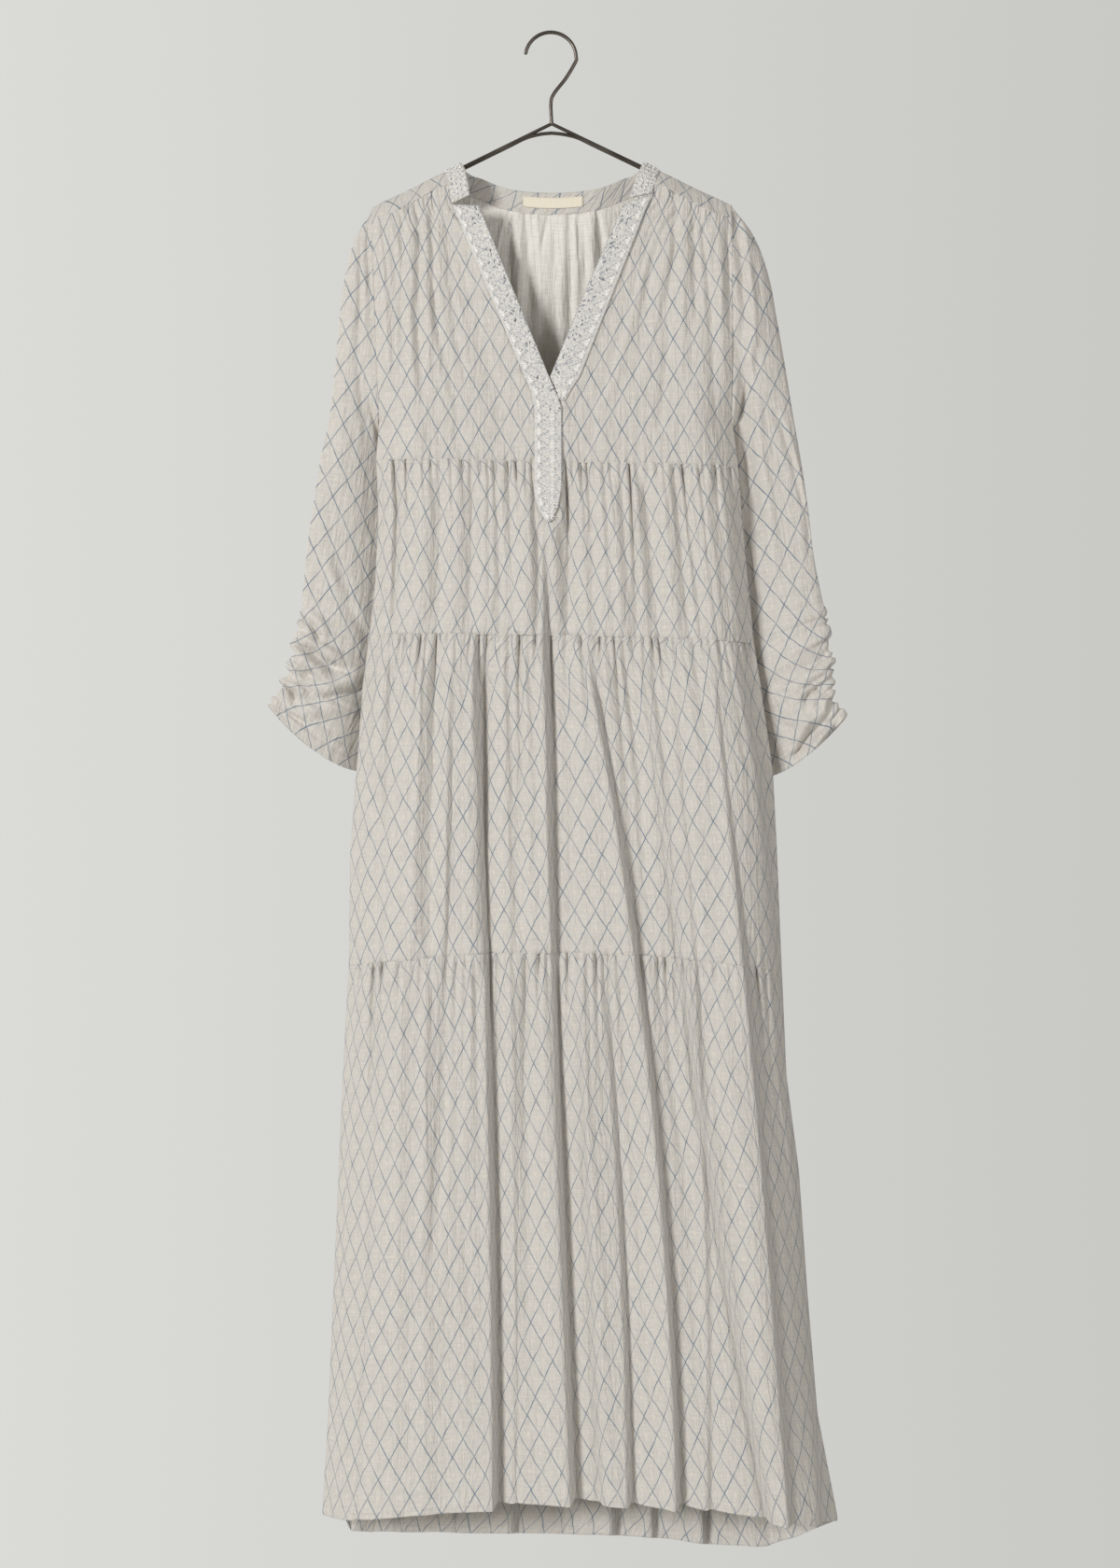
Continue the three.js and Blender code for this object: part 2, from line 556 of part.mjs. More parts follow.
// Front bodice: from the armhole and side to the placket, gathered under the yoke
function frontBodiceSurface(side) {
  const edge = side === 'left' ? BODICE_EDGE_LEFT : BODICE_EDGE_RIGHT;
  const outX = SIDES[0][side];
  const gathers = GATHERS.bodiceFront;
  return (across, down) => {
    // across runs from -X to +X on both fronts
    const outward = side === 'left' ? 1 - across : across;
    const topX = lerp(edge[0].x, outX, outward);
    const top = yokeSeamHeight(topX) - SEAM_GAP / 2;
    const waist = FRONT_SEAMS.waist[side];
    const waistX = lerp(edge[edge.length - 1].x, readTable(SIDES, 'z', side, waist), outward);
    const bottom = seamHeight(FRONT_SEAMS.waist, bodyAcross(waistX, waist)) + SEAM_GAP / 2;
    const z = lerp(top, bottom, down);
    const openX = lerp(readTable(edge, 'z', 'x', z), readTable(SIDES, 'z', side, z), outward);
    const x = lerp(topX, openX, smoothstep(down, 0, FRONT_DRAPE.settle));
    const calm = smoothstep(Math.min(outward, 1 - outward), 0, FRONT_DRAPE.calm);
    const wave = gatherWave(gathers.count, across, FRONT_DRAPE.phase[side]);
    const lift = calm * gatherHeight(gathers, top - z, z - bottom) * wave;
    return new THREE.Vector3(x, -bodyDepth('front', x, z) - lift, z);
  };
}

// Back bodice and its lining: gathers bunched at the middle of the neck, opening out to the waist
function backBodiceSurface(inset, trim) {
  const gathers = GATHERS.bodiceBack;
  const waist = BACK_SEAMS.waist;
  const bunch = BACK_BUNCH;
  return (across, down) => {
    const fromMiddle = 2 * across - 1;
    const side = fromMiddle < 0 ? 'left' : 'right';
    const out = Math.abs(fromMiddle);
    const sign = Math.sign(fromMiddle);
    const spread = (z, half) => {
      const reach = Math.abs(readTable(SIDES, 'z', side, z) - NECK_MIDDLE) - trim;
      const inner = (out / bunch.share) * half;
      const outer = lerp(half, reach, (out - bunch.share) / (1 - bunch.share));
      return NECK_MIDDLE + sign * (out < bunch.share ? inner : outer);
    };
    const top = backTopHeight(spread(SIDES[0].z, bunch.top)) - SEAM_GAP / 2;
    const waistX = spread(waist[side], bunch.bottom);
    const bottom = seamHeight(waist, bodyAcross(waistX, waist[side])) + SEAM_GAP / 2;
    const z = lerp(top, bottom, down);
    const x = spread(z, lerp(bunch.top, bunch.bottom, down));
    const calm = smoothstep(bunch.share + bunch.fadeStart - out, 0, bunch.fadeRun);
    const wave = gatherWave(gathers.count / bunch.share, across, bunch.phase);
    const lift = calm * gatherHeight(gathers, top - z, z - bottom) * wave;
    const nested = inset * lerp(LINING.topInset, 1, smoothstep(top - z, 0, GATHER_CALM));
    return new THREE.Vector3(x, bodyDepth('back', x, z) + lift - nested, z);
  };
}

// Shoulder yoke: a saddle from its front seam, over the shoulder line, to its back seam
function yokeSurface(side) {
  const sign = side === 'left' ? -1 : 1;
  const neck = NECK_MIDDLE + sign * YOKE_NECK.ridge;
  const tip = SIDES[0][side];
  const steep = Math.hypot(1, RIDGE_ROUND) - RIDGE_ROUND;
  return (across, down) => {
    const over = 2 * down - 1;
    const along = side === 'left' ? 1 - across : across;
    const fall = (Math.hypot(over, RIDGE_ROUND) - RIDGE_ROUND) / steep;
    const x = lerp(neck, tip, along) - sign * YOKE_NECK.lean * fall * (1 - along);
    const seam = yokeSeamHeight(x) + SEAM_GAP;
    const ridge = armHeight(side, x) + RIDGE_LIFT;
    const depth = bodyDepth(over > 0 ? 'front' : 'back', x, seam);
    return new THREE.Vector3(x, -depth * over, lerp(ridge, seam, fall));
  };
}

function neckbandSurface(across, down) {
  const read = (column) => readSmooth(NECKBAND_SECTIONS, column, across);
  return new THREE.Vector3(
    lerp(read('topX'), read('seamX'), down),
    lerp(read('topY'), read('seamY'), down),
    lerp(read('topZ'), read('seamZ'), down),
  );
}

// Finds the place along the neckband whose seam lies at a given x on the back
function neckbandPlace(x) {
  const first = 4;
  const last = 12;
  const total = NECKBAND_SECTIONS.length - 1;
  let low = first / total;
  let high = last / total;
  for (let turn = 0; turn < 30; turn += 1) {
    const middle = (low + high) / 2;
    if (readSmooth(NECKBAND_SECTIONS, 'seamX', middle) < x) low = middle;
    else high = middle;
  }
  return (low + high) / 2;
}

function labelSurface(across, down) {
  const place = lerp(neckbandPlace(LABEL.left), neckbandPlace(LABEL.right), across);
  const point = neckbandSurface(place, 1 - lerp(LABEL.top, LABEL.bottom, down));
  point.y -= HALF_WALL + SEAM_GAP + LABEL.wall / 2;
  return point;
}

// Placket band: lies on the front, its points taken from the front's and moved out one layer
function placketSurface(rows) {
  const total = rows.length - 1;
  return (across, down) => {
    const place = clamp(down, 0, 1) * total;
    const index = Math.min(Math.floor(place), total - 1);
    const part = place - index;
    const read = (column) => lerp(rows[index][column], rows[index + 1][column], part);
    const leftFirst = rows[0].outerX < 0;
    const toInner = leftFirst ? across : 1 - across;
    const x = lerp(read('outerX'), read('innerX'), toInner);
    const z = lerp(read('outerZ'), read('innerZ'), toInner);
    const overSkirt = TAB.lift * smoothstep(FRONT_SEAMS.waist.middle - z, TAB_RISE.below, TAB_RISE.above);
    const out = LAYER_STEP + PLACKET_EASE + overSkirt;
    return new THREE.Vector3(x, -bodyDepth('front', x, z) - out, z);
  };
}

// Sleeve: flattened rings from the armhole, falling beside the body, ruched along the outer seam
function sleeveSurface(side, sections) {
  const sign = side === 'left' ? -1 : 1;
  return (around, down) => {
    const angle = 2 * Math.PI * around;
    const read = (column) => readSmooth(sections, column, down);
    const outer = new THREE.Vector3(read('outX'), 0, read('outZ'));
    const inner = new THREE.Vector3(read('inX'), read('inY'), read('inZ'));
    const middle = outer.clone().add(inner).multiplyScalar(0.5);
    const wide = outer.clone().sub(inner).multiplyScalar(0.5);
    const deep = new THREE.Vector3(0, 1, 0);
    deep.addScaledVector(wide, -deep.dot(wide) / wide.lengthSq()).normalize();
    const grown = smoothstep(down, SLEEVE_FOLD_GROWTH.from, SLEEVE_FOLD_GROWTH.to);
    let lift = 0;
    for (const fold of SLEEVE_FOLDS) {
      const away = Math.atan2(Math.sin(angle - fold.angle), Math.cos(angle - fold.angle));
      lift += grown * fold.height * Math.exp(-(away * away) / (2 * fold.width * fold.width));
    }
    const ruched = clamp((down - RUCHING.start) / (1 - RUCHING.start), 0, 1);
    const nearOuter = ((1 + Math.cos(angle)) / 2) ** RUCHING.narrowing;
    const puff = nearOuter * RUCHING.height * Math.sin(2 * Math.PI * RUCHING.count * ruched);
    const point = middle.addScaledVector(wide, Math.cos(angle) * (1 + puff / wide.length()));
    point.addScaledVector(deep, -Math.sin(angle) * (read('half') + lift + puff));
    point.z -= read('sag') * Math.sin(angle) ** 2;
    point.x += sign * SLEEVE_SEAM_STEP;
    return point;
  };
}

function sleeveRows() {
  const rows = [];
  for (let row = 0; row < SLEEVE_PLAIN_ROWS; row += 1) {
    rows.push({ down: (RUCHING.start * row) / SLEEVE_PLAIN_ROWS, steps: SLEEVE_ROUND });
  }
  const turns = RUCHING.count * 2;
  for (let turn = 0; turn <= turns; turn += 1) {
    const half = turn === 0 || turn === turns ? turn : turn - 0.5;
    rows.push({ down: lerp(RUCHING.start, 1, half / turns), steps: SLEEVE_ROUND });
  }
  return rows;
}

function toSolid(geometry) {
  geometry.deleteAttribute('normal');
  geometry.deleteAttribute('uv');
  const merged = mergeVertices(geometry, 1e-4);
  return new wasm.Manifold(new wasm.Mesh({
    numProp: 3,
    vertProperties: new Float32Array(merged.attributes.position.array),
    triVerts: new Uint32Array(merged.index.array),
  }));
}

function fromSolid(solid) {
  const { vertProperties, triVerts } = solid.getMesh();
  const geometry = new THREE.BufferGeometry();
  geometry.setAttribute('position', new THREE.Float32BufferAttribute(vertProperties, 3));
  geometry.setIndex(new THREE.Uint32BufferAttribute(triVerts, 1));
  return geometry;
}

function wireSection(radius) {
  const shape = new THREE.Shape();
  shape.absarc(0, 0, radius, 0, 2 * Math.PI, false);
  return shape;
}

function wireAlong(points, radius, steps) {
  const path = new THREE.CatmullRomCurve3(points, false, 'centripetal');
  return toSolid(new THREE.ExtrudeGeometry(wireSection(radius), {
    extrudePath: path,
    steps,
    curveSegments: WIRE_SIDES / 2,
  }));
}

function wireEnd(point, radius) {
  const ball = new THREE.SphereGeometry(radius * WIRE_END_SCALE, WIRE_SIDES, WIRE_SIDES / 2);
  ball.translate(point.x, point.y, point.z);
  return toSolid(ball);
}

// Hanger: hook and neck, two straight arms from the apex, and a second wire that bows under the neck
function hangerGeometry() {
  const onWall = (x, z) => new THREE.Vector3(x, 0, z);
  const centre = { x: 0, z: HOOK_WIRE - HOOK_RADIUS };
  const hook = [];
  for (let angle = HOOK_TURN.tip; angle >= HOOK_TURN.end; angle -= HOOK_TURN.step) {
    const turn = THREE.MathUtils.degToRad(angle);
    hook.push(onWall(centre.x + HOOK_RADIUS * Math.cos(turn), centre.z + HOOK_RADIUS * Math.sin(turn)));
  }
  const apex = onWall(APEX.x, APEX.z);
  const bowTop = onWall(APEX.x, BOW.top);
  hook.push(...HOOK_STEM.map(({ x, z }) => onWall(x, z)), apex);
  let solid = wireAlong(hook, HOOK_WIRE, HOOK_STEPS).add(wireEnd(hook[0], HOOK_WIRE));
  for (const [side, { end }] of Object.entries(ARM_SIDES)) {
    const sign = side === 'left' ? -1 : 1;
    const underArm = (x) => onWall(x, armHeight(side, x) - BOW.drop);
    const tip = onWall(end, armHeight(side, end));
    const merge = APEX.x + sign * BOW.reach;
    const lowTip = underArm(end - sign * ARM_WIRE);
    const shoulder = onWall(APEX.x + sign * BOW.shoulder, BOW.shoulderZ);
    const lower = [bowTop, shoulder, underArm(merge), underArm(merge + sign * BOW.blend), lowTip];
    solid = solid.add(wireAlong([apex, tip], ARM_WIRE, 1)).add(wireEnd(tip, ARM_WIRE));
    solid = solid.add(wireAlong(lower, ARM_WIRE, BOW.steps)).add(wireEnd(lowTip, ARM_WIRE));
  }
  return fromSolid(solid.add(wireEnd(apex, HOOK_WIRE)).add(wireEnd(bowTop, ARM_WIRE)));
}

function addPiece(group, name, geometry, finish) {
  const mesh = new THREE.Mesh(geometry, new THREE.MeshStandardMaterial(FINISHES[finish]));
  mesh.name = name;
  group.add(mesh);
}

function addTiers(group) {
  const tiers = [
    { name: 'tier_1', upper: 'waist', lower: 'second', height: 172, phase: 0.3 },
    { name: 'tier_2', upper: 'second', lower: 'third', height: 310, phase: 1.7 },
    { name: 'tier_3', upper: 'third', lower: 'hem', height: 525, phase: 2.9 },
  ];
  const faces = [
    { face: 'front', seams: FRONT_SEAMS, gathers: GATHERS.tierFront, fineSteps: 4 },
    { face: 'back', seams: BACK_SEAMS, gathers: GATHERS.tierBack, fineSteps: 2 },
  ];
  for (const { name, upper, lower, height, phase } of tiers) {
    for (const { face, seams, gathers, fineSteps } of faces) {
      const surface = tierSurface(face, seams[upper], seams[lower], gathers, phase, lower === 'hem');
      const wall = clothWall(surface, tierRows(height, gathers, fineSteps));
      addPiece(group, `${name}_${face}`, wall, 'printedCotton');
    }
  }
}

function addBodice(group) {
  const gatherSteps = GATHERS.bodiceFront.count * 3;
  const rowsAt = (places, steps) => places.map((down) => ({ down, steps }));
  for (const side of ['left', 'right']) {
    const bodice = clothWall(frontBodiceSurface(side), rowsAt(BODICE_ROWS, gatherSteps));
    addPiece(group, `front_bodice_${side}`, bodice, 'printedCotton');
    addPiece(group, `yoke_${side}`, clothWall(yokeSurface(side), evenRows(6, 8)), 'printedCotton');
  }
  const back = clothWall(backBodiceSurface(0, 0), rowsAt(BACK_BODICE_ROWS, BACK_STEPS));
  addPiece(group, 'back_bodice', back, 'printedCotton');
  const liningSurface = backBodiceSurface(LINING.inset, LINING.trim);
  const lining = clothWall(liningSurface, evenRows(LINING.rows, BACK_STEPS / 2));
  addPiece(group, 'back_lining', lining, 'plainCotton');
}

function addNeck(group) {
  const bandSteps = (NECKBAND_SECTIONS.length - 1) * 2;
  const band = clothWall(neckbandSurface, evenRows(2, bandSteps), { squareTop: false, squareEnd: false });
  addPiece(group, 'neckband', band, 'printedCotton');
  addPiece(group, 'label', clothWall(labelSurface, evenRows(1, 6), { wall: LABEL.wall }), 'ribbon');
  for (const [name, rows] of [['placket_over', PLACKET_OVER], ['placket_under', PLACKET_UNDER]]) {
    const steps = (rows.length - 1) * PLACKET_STEPS;
    addPiece(group, name, clothWall(placketSurface(rows), evenRows(steps, 2)), 'embroideredCotton');
  }
}

function addSleeves(group) {
  const sleeves = { left: SLEEVE_LEFT, right: SLEEVE_RIGHT };
  for (const [side, sections] of Object.entries(sleeves)) {
    const options = { tube: true, squareTop: 'x', squareEnd: false };
    const sleeve = clothWall(sleeveSurface(side, sections), sleeveRows(), options);
    addPiece(group, `sleeve_${side}`, sleeve, 'printedCotton');
  }
}

const group = new THREE.Group();
addPiece(group, 'hanger', hangerGeometry(), 'brushedSteel');
addNeck(group);
addBodice(group);
addSleeves(group);
addTiers(group);

export default group;
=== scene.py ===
"""Tiered cotton voile dress on a steel wire hanger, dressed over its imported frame.

Tables and sizes are in millimetres, as a dressmaker gives them, and every mesh is made in metres.
The front faces -Y, left and right are as seen from the front, and the origin is the inside of the
top of the hook. Each piece of cloth is a thin shell on the form of its solid, with its own creases.
"""
import logging
import math
import random
from dataclasses import dataclass, field
from enum import Enum
from typing import Callable, NamedTuple, Sequence

import bmesh
import bpy
import numpy as np
from mathutils import Matrix, Vector


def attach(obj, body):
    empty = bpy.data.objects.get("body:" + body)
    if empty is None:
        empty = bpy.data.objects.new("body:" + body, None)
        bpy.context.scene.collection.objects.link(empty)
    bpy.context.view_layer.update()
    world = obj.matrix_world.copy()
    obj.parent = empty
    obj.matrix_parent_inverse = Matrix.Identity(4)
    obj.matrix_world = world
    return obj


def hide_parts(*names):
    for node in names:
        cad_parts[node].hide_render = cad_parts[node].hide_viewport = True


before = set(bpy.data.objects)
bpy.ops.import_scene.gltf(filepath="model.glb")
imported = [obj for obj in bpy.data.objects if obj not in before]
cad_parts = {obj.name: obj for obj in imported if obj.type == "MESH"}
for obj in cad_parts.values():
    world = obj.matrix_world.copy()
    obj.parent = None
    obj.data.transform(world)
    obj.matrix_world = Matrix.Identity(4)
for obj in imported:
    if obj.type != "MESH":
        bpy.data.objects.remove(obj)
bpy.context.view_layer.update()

LOG = logging.getLogger("tiered_dress")
MM = 0.001
BODY = "root"
CLOTH_MAP = "cloth"

# Walls of the shells
VOILE = 0.7
BAND = 1.3
WALL = 1.4
SEAM_GAP = 0.3
SIDE_SEAM_Y = (WALL + SEAM_GAP) / 2
LAYER_STEP = WALL + SEAM_GAP

Grid = np.ndarray
Surface = Callable[[Grid, Grid], Grid]
Chart = Callable[[Grid, Grid, Grid], Grid]
Tree = bpy.types.NodeTree


class Face(Enum):
    """The two faces of the garment, by the way they look along Y."""

    FRONT = -1
    BACK = 1


class Side(Enum):
    """The two sides of the garment as seen from the front."""

    LEFT = -1
    RIGHT = 1


class BodySide(NamedTuple):
    """Side silhouette of the body at a height."""

    z: float
    left: float
    right: float


class BodyDepth(NamedTuple):
    """Depth of each face from the middle plane, and the run over which a side rounds off."""

    z: float
    front: float
    back: float
    run: float


class SeamLine(NamedTuple):
    """Heights of a seam or hem at the left side, the middle and the right side."""

    left: float
    middle: float
    right: float


class BandSection(NamedTuple):
    """Cross-section of the neckband, from the neck seam to the upper edge."""

    seam_x: float
    seam_y: float
    seam_z: float
    top_x: float
    top_y: float
    top_z: float


class PlacketSection(NamedTuple):
    """Cross-section of a placket band, from its outer edge to its inner one."""

    outer_x: float
    outer_z: float
    inner_x: float
    inner_z: float


class EdgePoint(NamedTuple):
    """Place across of an edge at a height."""

    z: float
    x: float


class SleeveRing(NamedTuple):
    """Section of a sleeve: outer contour, inner seam, half depth, and its sag below that line."""

    out_x: float
    out_z: float
    in_x: float
    in_y: float
    in_z: float
    half: float
    sag: float


class SeamPoint(NamedTuple):
    """Height of a seam or hem at a place across."""

    x: float
    z: float


class Fold(NamedTuple):
    """Long fold: a crest on one side of its line, a trough on the other, cloth tucked between them."""

    crest: int
    top_x: float
    top_z: float
    mid_x: float
    mid_z: float
    end_x: float
    end_z: float
    rise: float
    dip: float
    crest_run: float
    trough_run: float
    tuck: float


class Crease(NamedTuple):
    """Soft trough or ridge that starts at a seam, by its place across and its lean down the cloth."""

    place: float
    height: float
    width: float
    spread: float
    length: float
    lean: float


class Wrinkle(NamedTuple):
    """Trough or ridge on a line between two places seen from the front, bowed to its left."""

    start_x: float
    start_z: float
    end_x: float
    end_z: float
    bow: float
    height: float
    width: float


def smooth(value: Grid, low: float, high: float) -> Grid:
    """Eases from 0 at low to 1 at high."""
    share = np.clip((value - low) / (high - low), 0.0, 1.0)
    return share * share * (3.0 - 2.0 * share)


def mix(first: Grid, second: Grid, share: Grid) -> Grid:
    """Blends two values, the first at 0 and the second at 1."""
    return first + (second - first) * share


def table(kind: type, rows: Sequence[Sequence[float]]) -> tuple:
    """Makes a table of one kind of row, whose fields name its columns."""
    return tuple(kind(*row) for row in rows)


def read_table(rows: Sequence, key: str, column: str, at: Grid) -> Grid:
    """Reads a table's column with straight runs between its rows.

    Args:
        rows: Rows of the table, in rising or falling order of the key.
        key: Column that is looked up.
        column: Column that is read.
        at: Values of the key.

    Returns:
        The column's values there, held at the first and last row beyond them.
    """
    ordered = sorted(rows, key=lambda row: getattr(row, key))
    return np.interp(at, [getattr(row, key) for row in ordered], [getattr(row, column) for row in ordered])


def read_curve(rows: Sequence, column: str, along: Grid) -> Grid:
    """Reads a table's column on a smooth curve through its rows.

    Args:
        rows: Rows of the table.
        column: Column that is read.
        along: Place along the rows, 0 at the first and 1 at the last.

    Returns:
        The column's values there.
    """
    values = np.array([getattr(row, column) for row in rows], dtype=float)
    ends = np.concatenate(([2 * values[0] - values[1]], values, [2 * values[-1] - values[-2]]))
    place = np.clip(along, 0.0, 1.0) * (len(values) - 1)
    index = np.minimum(place.astype(int), len(values) - 2)
    part = place - index
    before, here, after, later = (ends[index + step] for step in range(4))
    bend = -0.5 * before + 1.5 * here - 1.5 * after + 0.5 * later
    turn = before - 2.5 * here + 2.0 * after - 0.5 * later
    slope = 0.5 * (after - before)
    return ((bend * part + turn) * part + slope) * part + here


def stack(x: Grid, y: Grid, z: Grid) -> Grid:
    """Joins three grids of coordinates into a grid of points."""
    return np.stack(np.broadcast_arrays(x, y, z), axis=-1).astype(float)


def unit(vectors: Grid) -> Grid:
    """Scales each vector of a grid to length 1."""
    return vectors / np.maximum(np.linalg.norm(vectors, axis=-1, keepdims=True), 1e-9)


def seam_height(seam: SeamLine, across: Grid) -> Grid:
    """Reads a seam's height across the body, on the curve through its three heights."""
    bow = 4.0 * across * (1.0 - across)
    return mix(seam.left, seam.right, across) + bow * (seam.middle - (seam.left + seam.right) / 2)


SIDES = table(BodySide, (
    (-170, -172, 174.5), (-372, -165, 174.5), (-409, -168, 180), (-463, -166, 184), (-530, -169, 190),
    (-582, -175, 195), (-627, -181, 202), (-711, -187, 214), (-790, -193, 218), (-890, -194, 222),
    (-1004, -200, 227), (-1096, -204, 239), (-1211, -209, 247), (-1330, -214, 257), (-1428, -220, 276),
))
DEPTHS = table(BodyDepth, (
    (-148, 13.5, 13.5, 28), (-178, 16, 16, 30), (-250, 20, 18, 34), (-335, 23, 20, 38),
    (-415, 26, 22, 40), (-585, 32, 25, 44), (-890, 40, 28, 50), (-1430, 50, 32, 60),
))
YOKE_SEAM = table(SeamPoint, (
    (96, -146.5), (109, -150), (127, -161), (155, -176), (175, -178),
))
NECK_MIDDLE = 1.7
WAIST_WIDTH = 350.0
LOWER_GROOVE = 1.1
SHOULDER = {Side.LEFT: -172.0, Side.RIGHT: 174.5}


@dataclass(frozen=True)
class BodyForm:
    """Flat hollow form that the hung body keeps before folds and gathers.

    Attributes:
        sides: Side silhouette by height.
        depths: Depths of the faces by height.
        armhole_depth: Half depth of the open armholes.
        armholes: Top and bottom of each armhole.
    """

    sides: Sequence[BodySide] = SIDES
    depths: Sequence[BodyDepth] = DEPTHS
    armhole_depth: float = 15.0
    armholes: dict = field(default_factory=lambda: {Side.LEFT: (-169.0, -373.0),
                                                    Side.RIGHT: (-166.5, -369.0)})

    def edge(self, side: Side, z: Grid) -> Grid:
        """Reads the body's side at a height."""
        return read_table(self.sides, "z", side.name.lower(), z)

    def across(self, x: Grid, z: Grid) -> Grid:
        """Gives a point's place across the body, 0 at the left side and 1 at the right one."""
        left = self.edge(Side.LEFT, z)
        return (x - left) / (self.edge(Side.RIGHT, z) - left)

    def edge_depth(self, side: Side, z: Grid) -> Grid:
        """Gives the depth of the cloth's edge: open along the armhole, closed below it."""
        top, bottom = self.armholes[side]
        place = np.clip((2 * z - top - bottom) / (top - bottom), -1.0, 1.0)
        return np.maximum(SIDE_SEAM_Y, self.armhole_depth * np.sqrt(1.0 - place * place))

    def depth(self, face: Face, x: Grid, z: Grid) -> Grid:
        """Gives the depth of a face's cloth from the middle plane, without folds."""
        left = self.edge(Side.LEFT, z)
        right = self.edge(Side.RIGHT, z)
        run = read_table(self.depths, "z", "run", z)
        full = read_table(self.depths, "z", face.name.lower(), z)
        nearer_left = x - left < right - x
        edge = np.where(nearer_left, self.edge_depth(Side.LEFT, z), self.edge_depth(Side.RIGHT, z))
        inside = np.clip(np.minimum(x - left, right - x) / run, 0.0, 1.0)
        return edge + (full - edge) * np.sin(inside * math.pi / 2)


FORM = BodyForm()


def yoke_height(x: Grid) -> Grid:
    """Gives the height of the yoke seams at a place across the body."""
    return read_table(YOKE_SEAM, "x", "z", np.abs(x - NECK_MIDDLE))


def linear(hex_colour: str, share: float = 1.0) -> tuple[float, float, float, float]:
    """Turns a share of an sRGB hex colour's light into linear light with full alpha."""
    channels = [int(hex_colour[place:place + 2], 16) / 255 for place in (1, 3, 5)]
    light = [c / 12.92 if c <= 0.04045 else ((c + 0.055) / 1.055) ** 2.4 for c in channels]
    return (*(c * share for c in light), 1.0)


def add_node(tree: Tree, kind: str, settings: dict | None = None,
             **sockets: object) -> bpy.types.Node:
    """Adds a node with its properties and its inputs, each linked or set.

    Args:
        tree: Tree that the node goes into.
        kind: Kind of node, without the ShaderNode before its name.
        settings: Properties of the node.
        **sockets: Output socket or value of each input, by the input's name with _ for a space, or
            as s0, s1 by its number.

    Returns:
        The new node.
    """
    node = tree.nodes.new("ShaderNode" + kind)
    for name, value in (settings or {}).items():
        setattr(node, name, value)
    for name, value in sockets.items():
        numbered = name[0] == "s" and name[1:].isdigit()
        socket = node.inputs[int(name[1:]) if numbered else name.replace("_", " ")]
        if isinstance(value, bpy.types.NodeSocket):
            tree.links.new(value, socket)
        else:
            socket.default_value = value
    return node


class Finish:
    """What the finishes share: a material of one Principled shader."""

    def material(self) -> bpy.types.Material:
        """Builds the material."""
        material = bpy.data.materials.new(self.name)
        material.use_nodes = True
        tree = material.node_tree
        tree.nodes.clear()
        shader = add_node(tree, "BsdfPrincipled", **self.inputs(tree))
        add_node(tree, "OutputMaterial", Surface=shader.outputs[0])
        return material


def cloth_place(tree: Tree) -> object:
    """Gives the place on the flat cloth, in metres."""
    return add_node(tree, "UVMap", {"uv_map": CLOTH_MAP}).outputs[0]


def object_place(tree: Tree) -> object:
    """Gives the place in the object, in metres."""
    return add_node(tree, "TexCoord").outputs["Object"]


def noise(tree: Tree, place: object, scale: float, detail: float, dimensions: str = "3D",
          **sockets: object) -> object:
    """Adds noise over a place and gives its strength."""
    return add_node(tree, "TexNoise", {"noise_dimensions": dimensions}, Vector=place, Scale=scale,
                    Detail=detail, **sockets).outputs[0]


def spread(tree: Tree, source: object, low: float, high: float, first: float = 0.0,
           last: float = 1.0, soft: bool = False) -> object:
    """Maps a value that runs from low to high onto one that runs from first to last."""
    settings = {"interpolation_type": "SMOOTHSTEP" if soft else "LINEAR"}
    return add_node(tree, "MapRange", settings, s0=source, s1=low, s2=high, s3=first, s4=last).outputs[0]


def blend(tree: Tree, share: object, first: object, second: object) -> object:
    """Blends two colours, the first at 0 and the second at 1."""
    return add_node(tree, "Mix", {"data_type": "RGBA"}, s0=share, s6=first, s7=second).outputs[2]


def bump(tree: Tree, height: object, strength: float, depth: float,
         **sockets: object) -> object:
    """Turns a height into a normal, at a strength and a depth in millimetres."""
    return add_node(tree, "Bump", Height=height, Strength=strength, Distance=depth * MM,
                    **sockets).outputs[0]


def arithmetic(tree: Tree, operation: str, first: object, second: object = 0.0) -> object:
    """Adds one sum to a tree and gives its output socket."""
    return add_node(tree, "Math", {"operation": operation}, s0=first, s1=second).outputs[0]


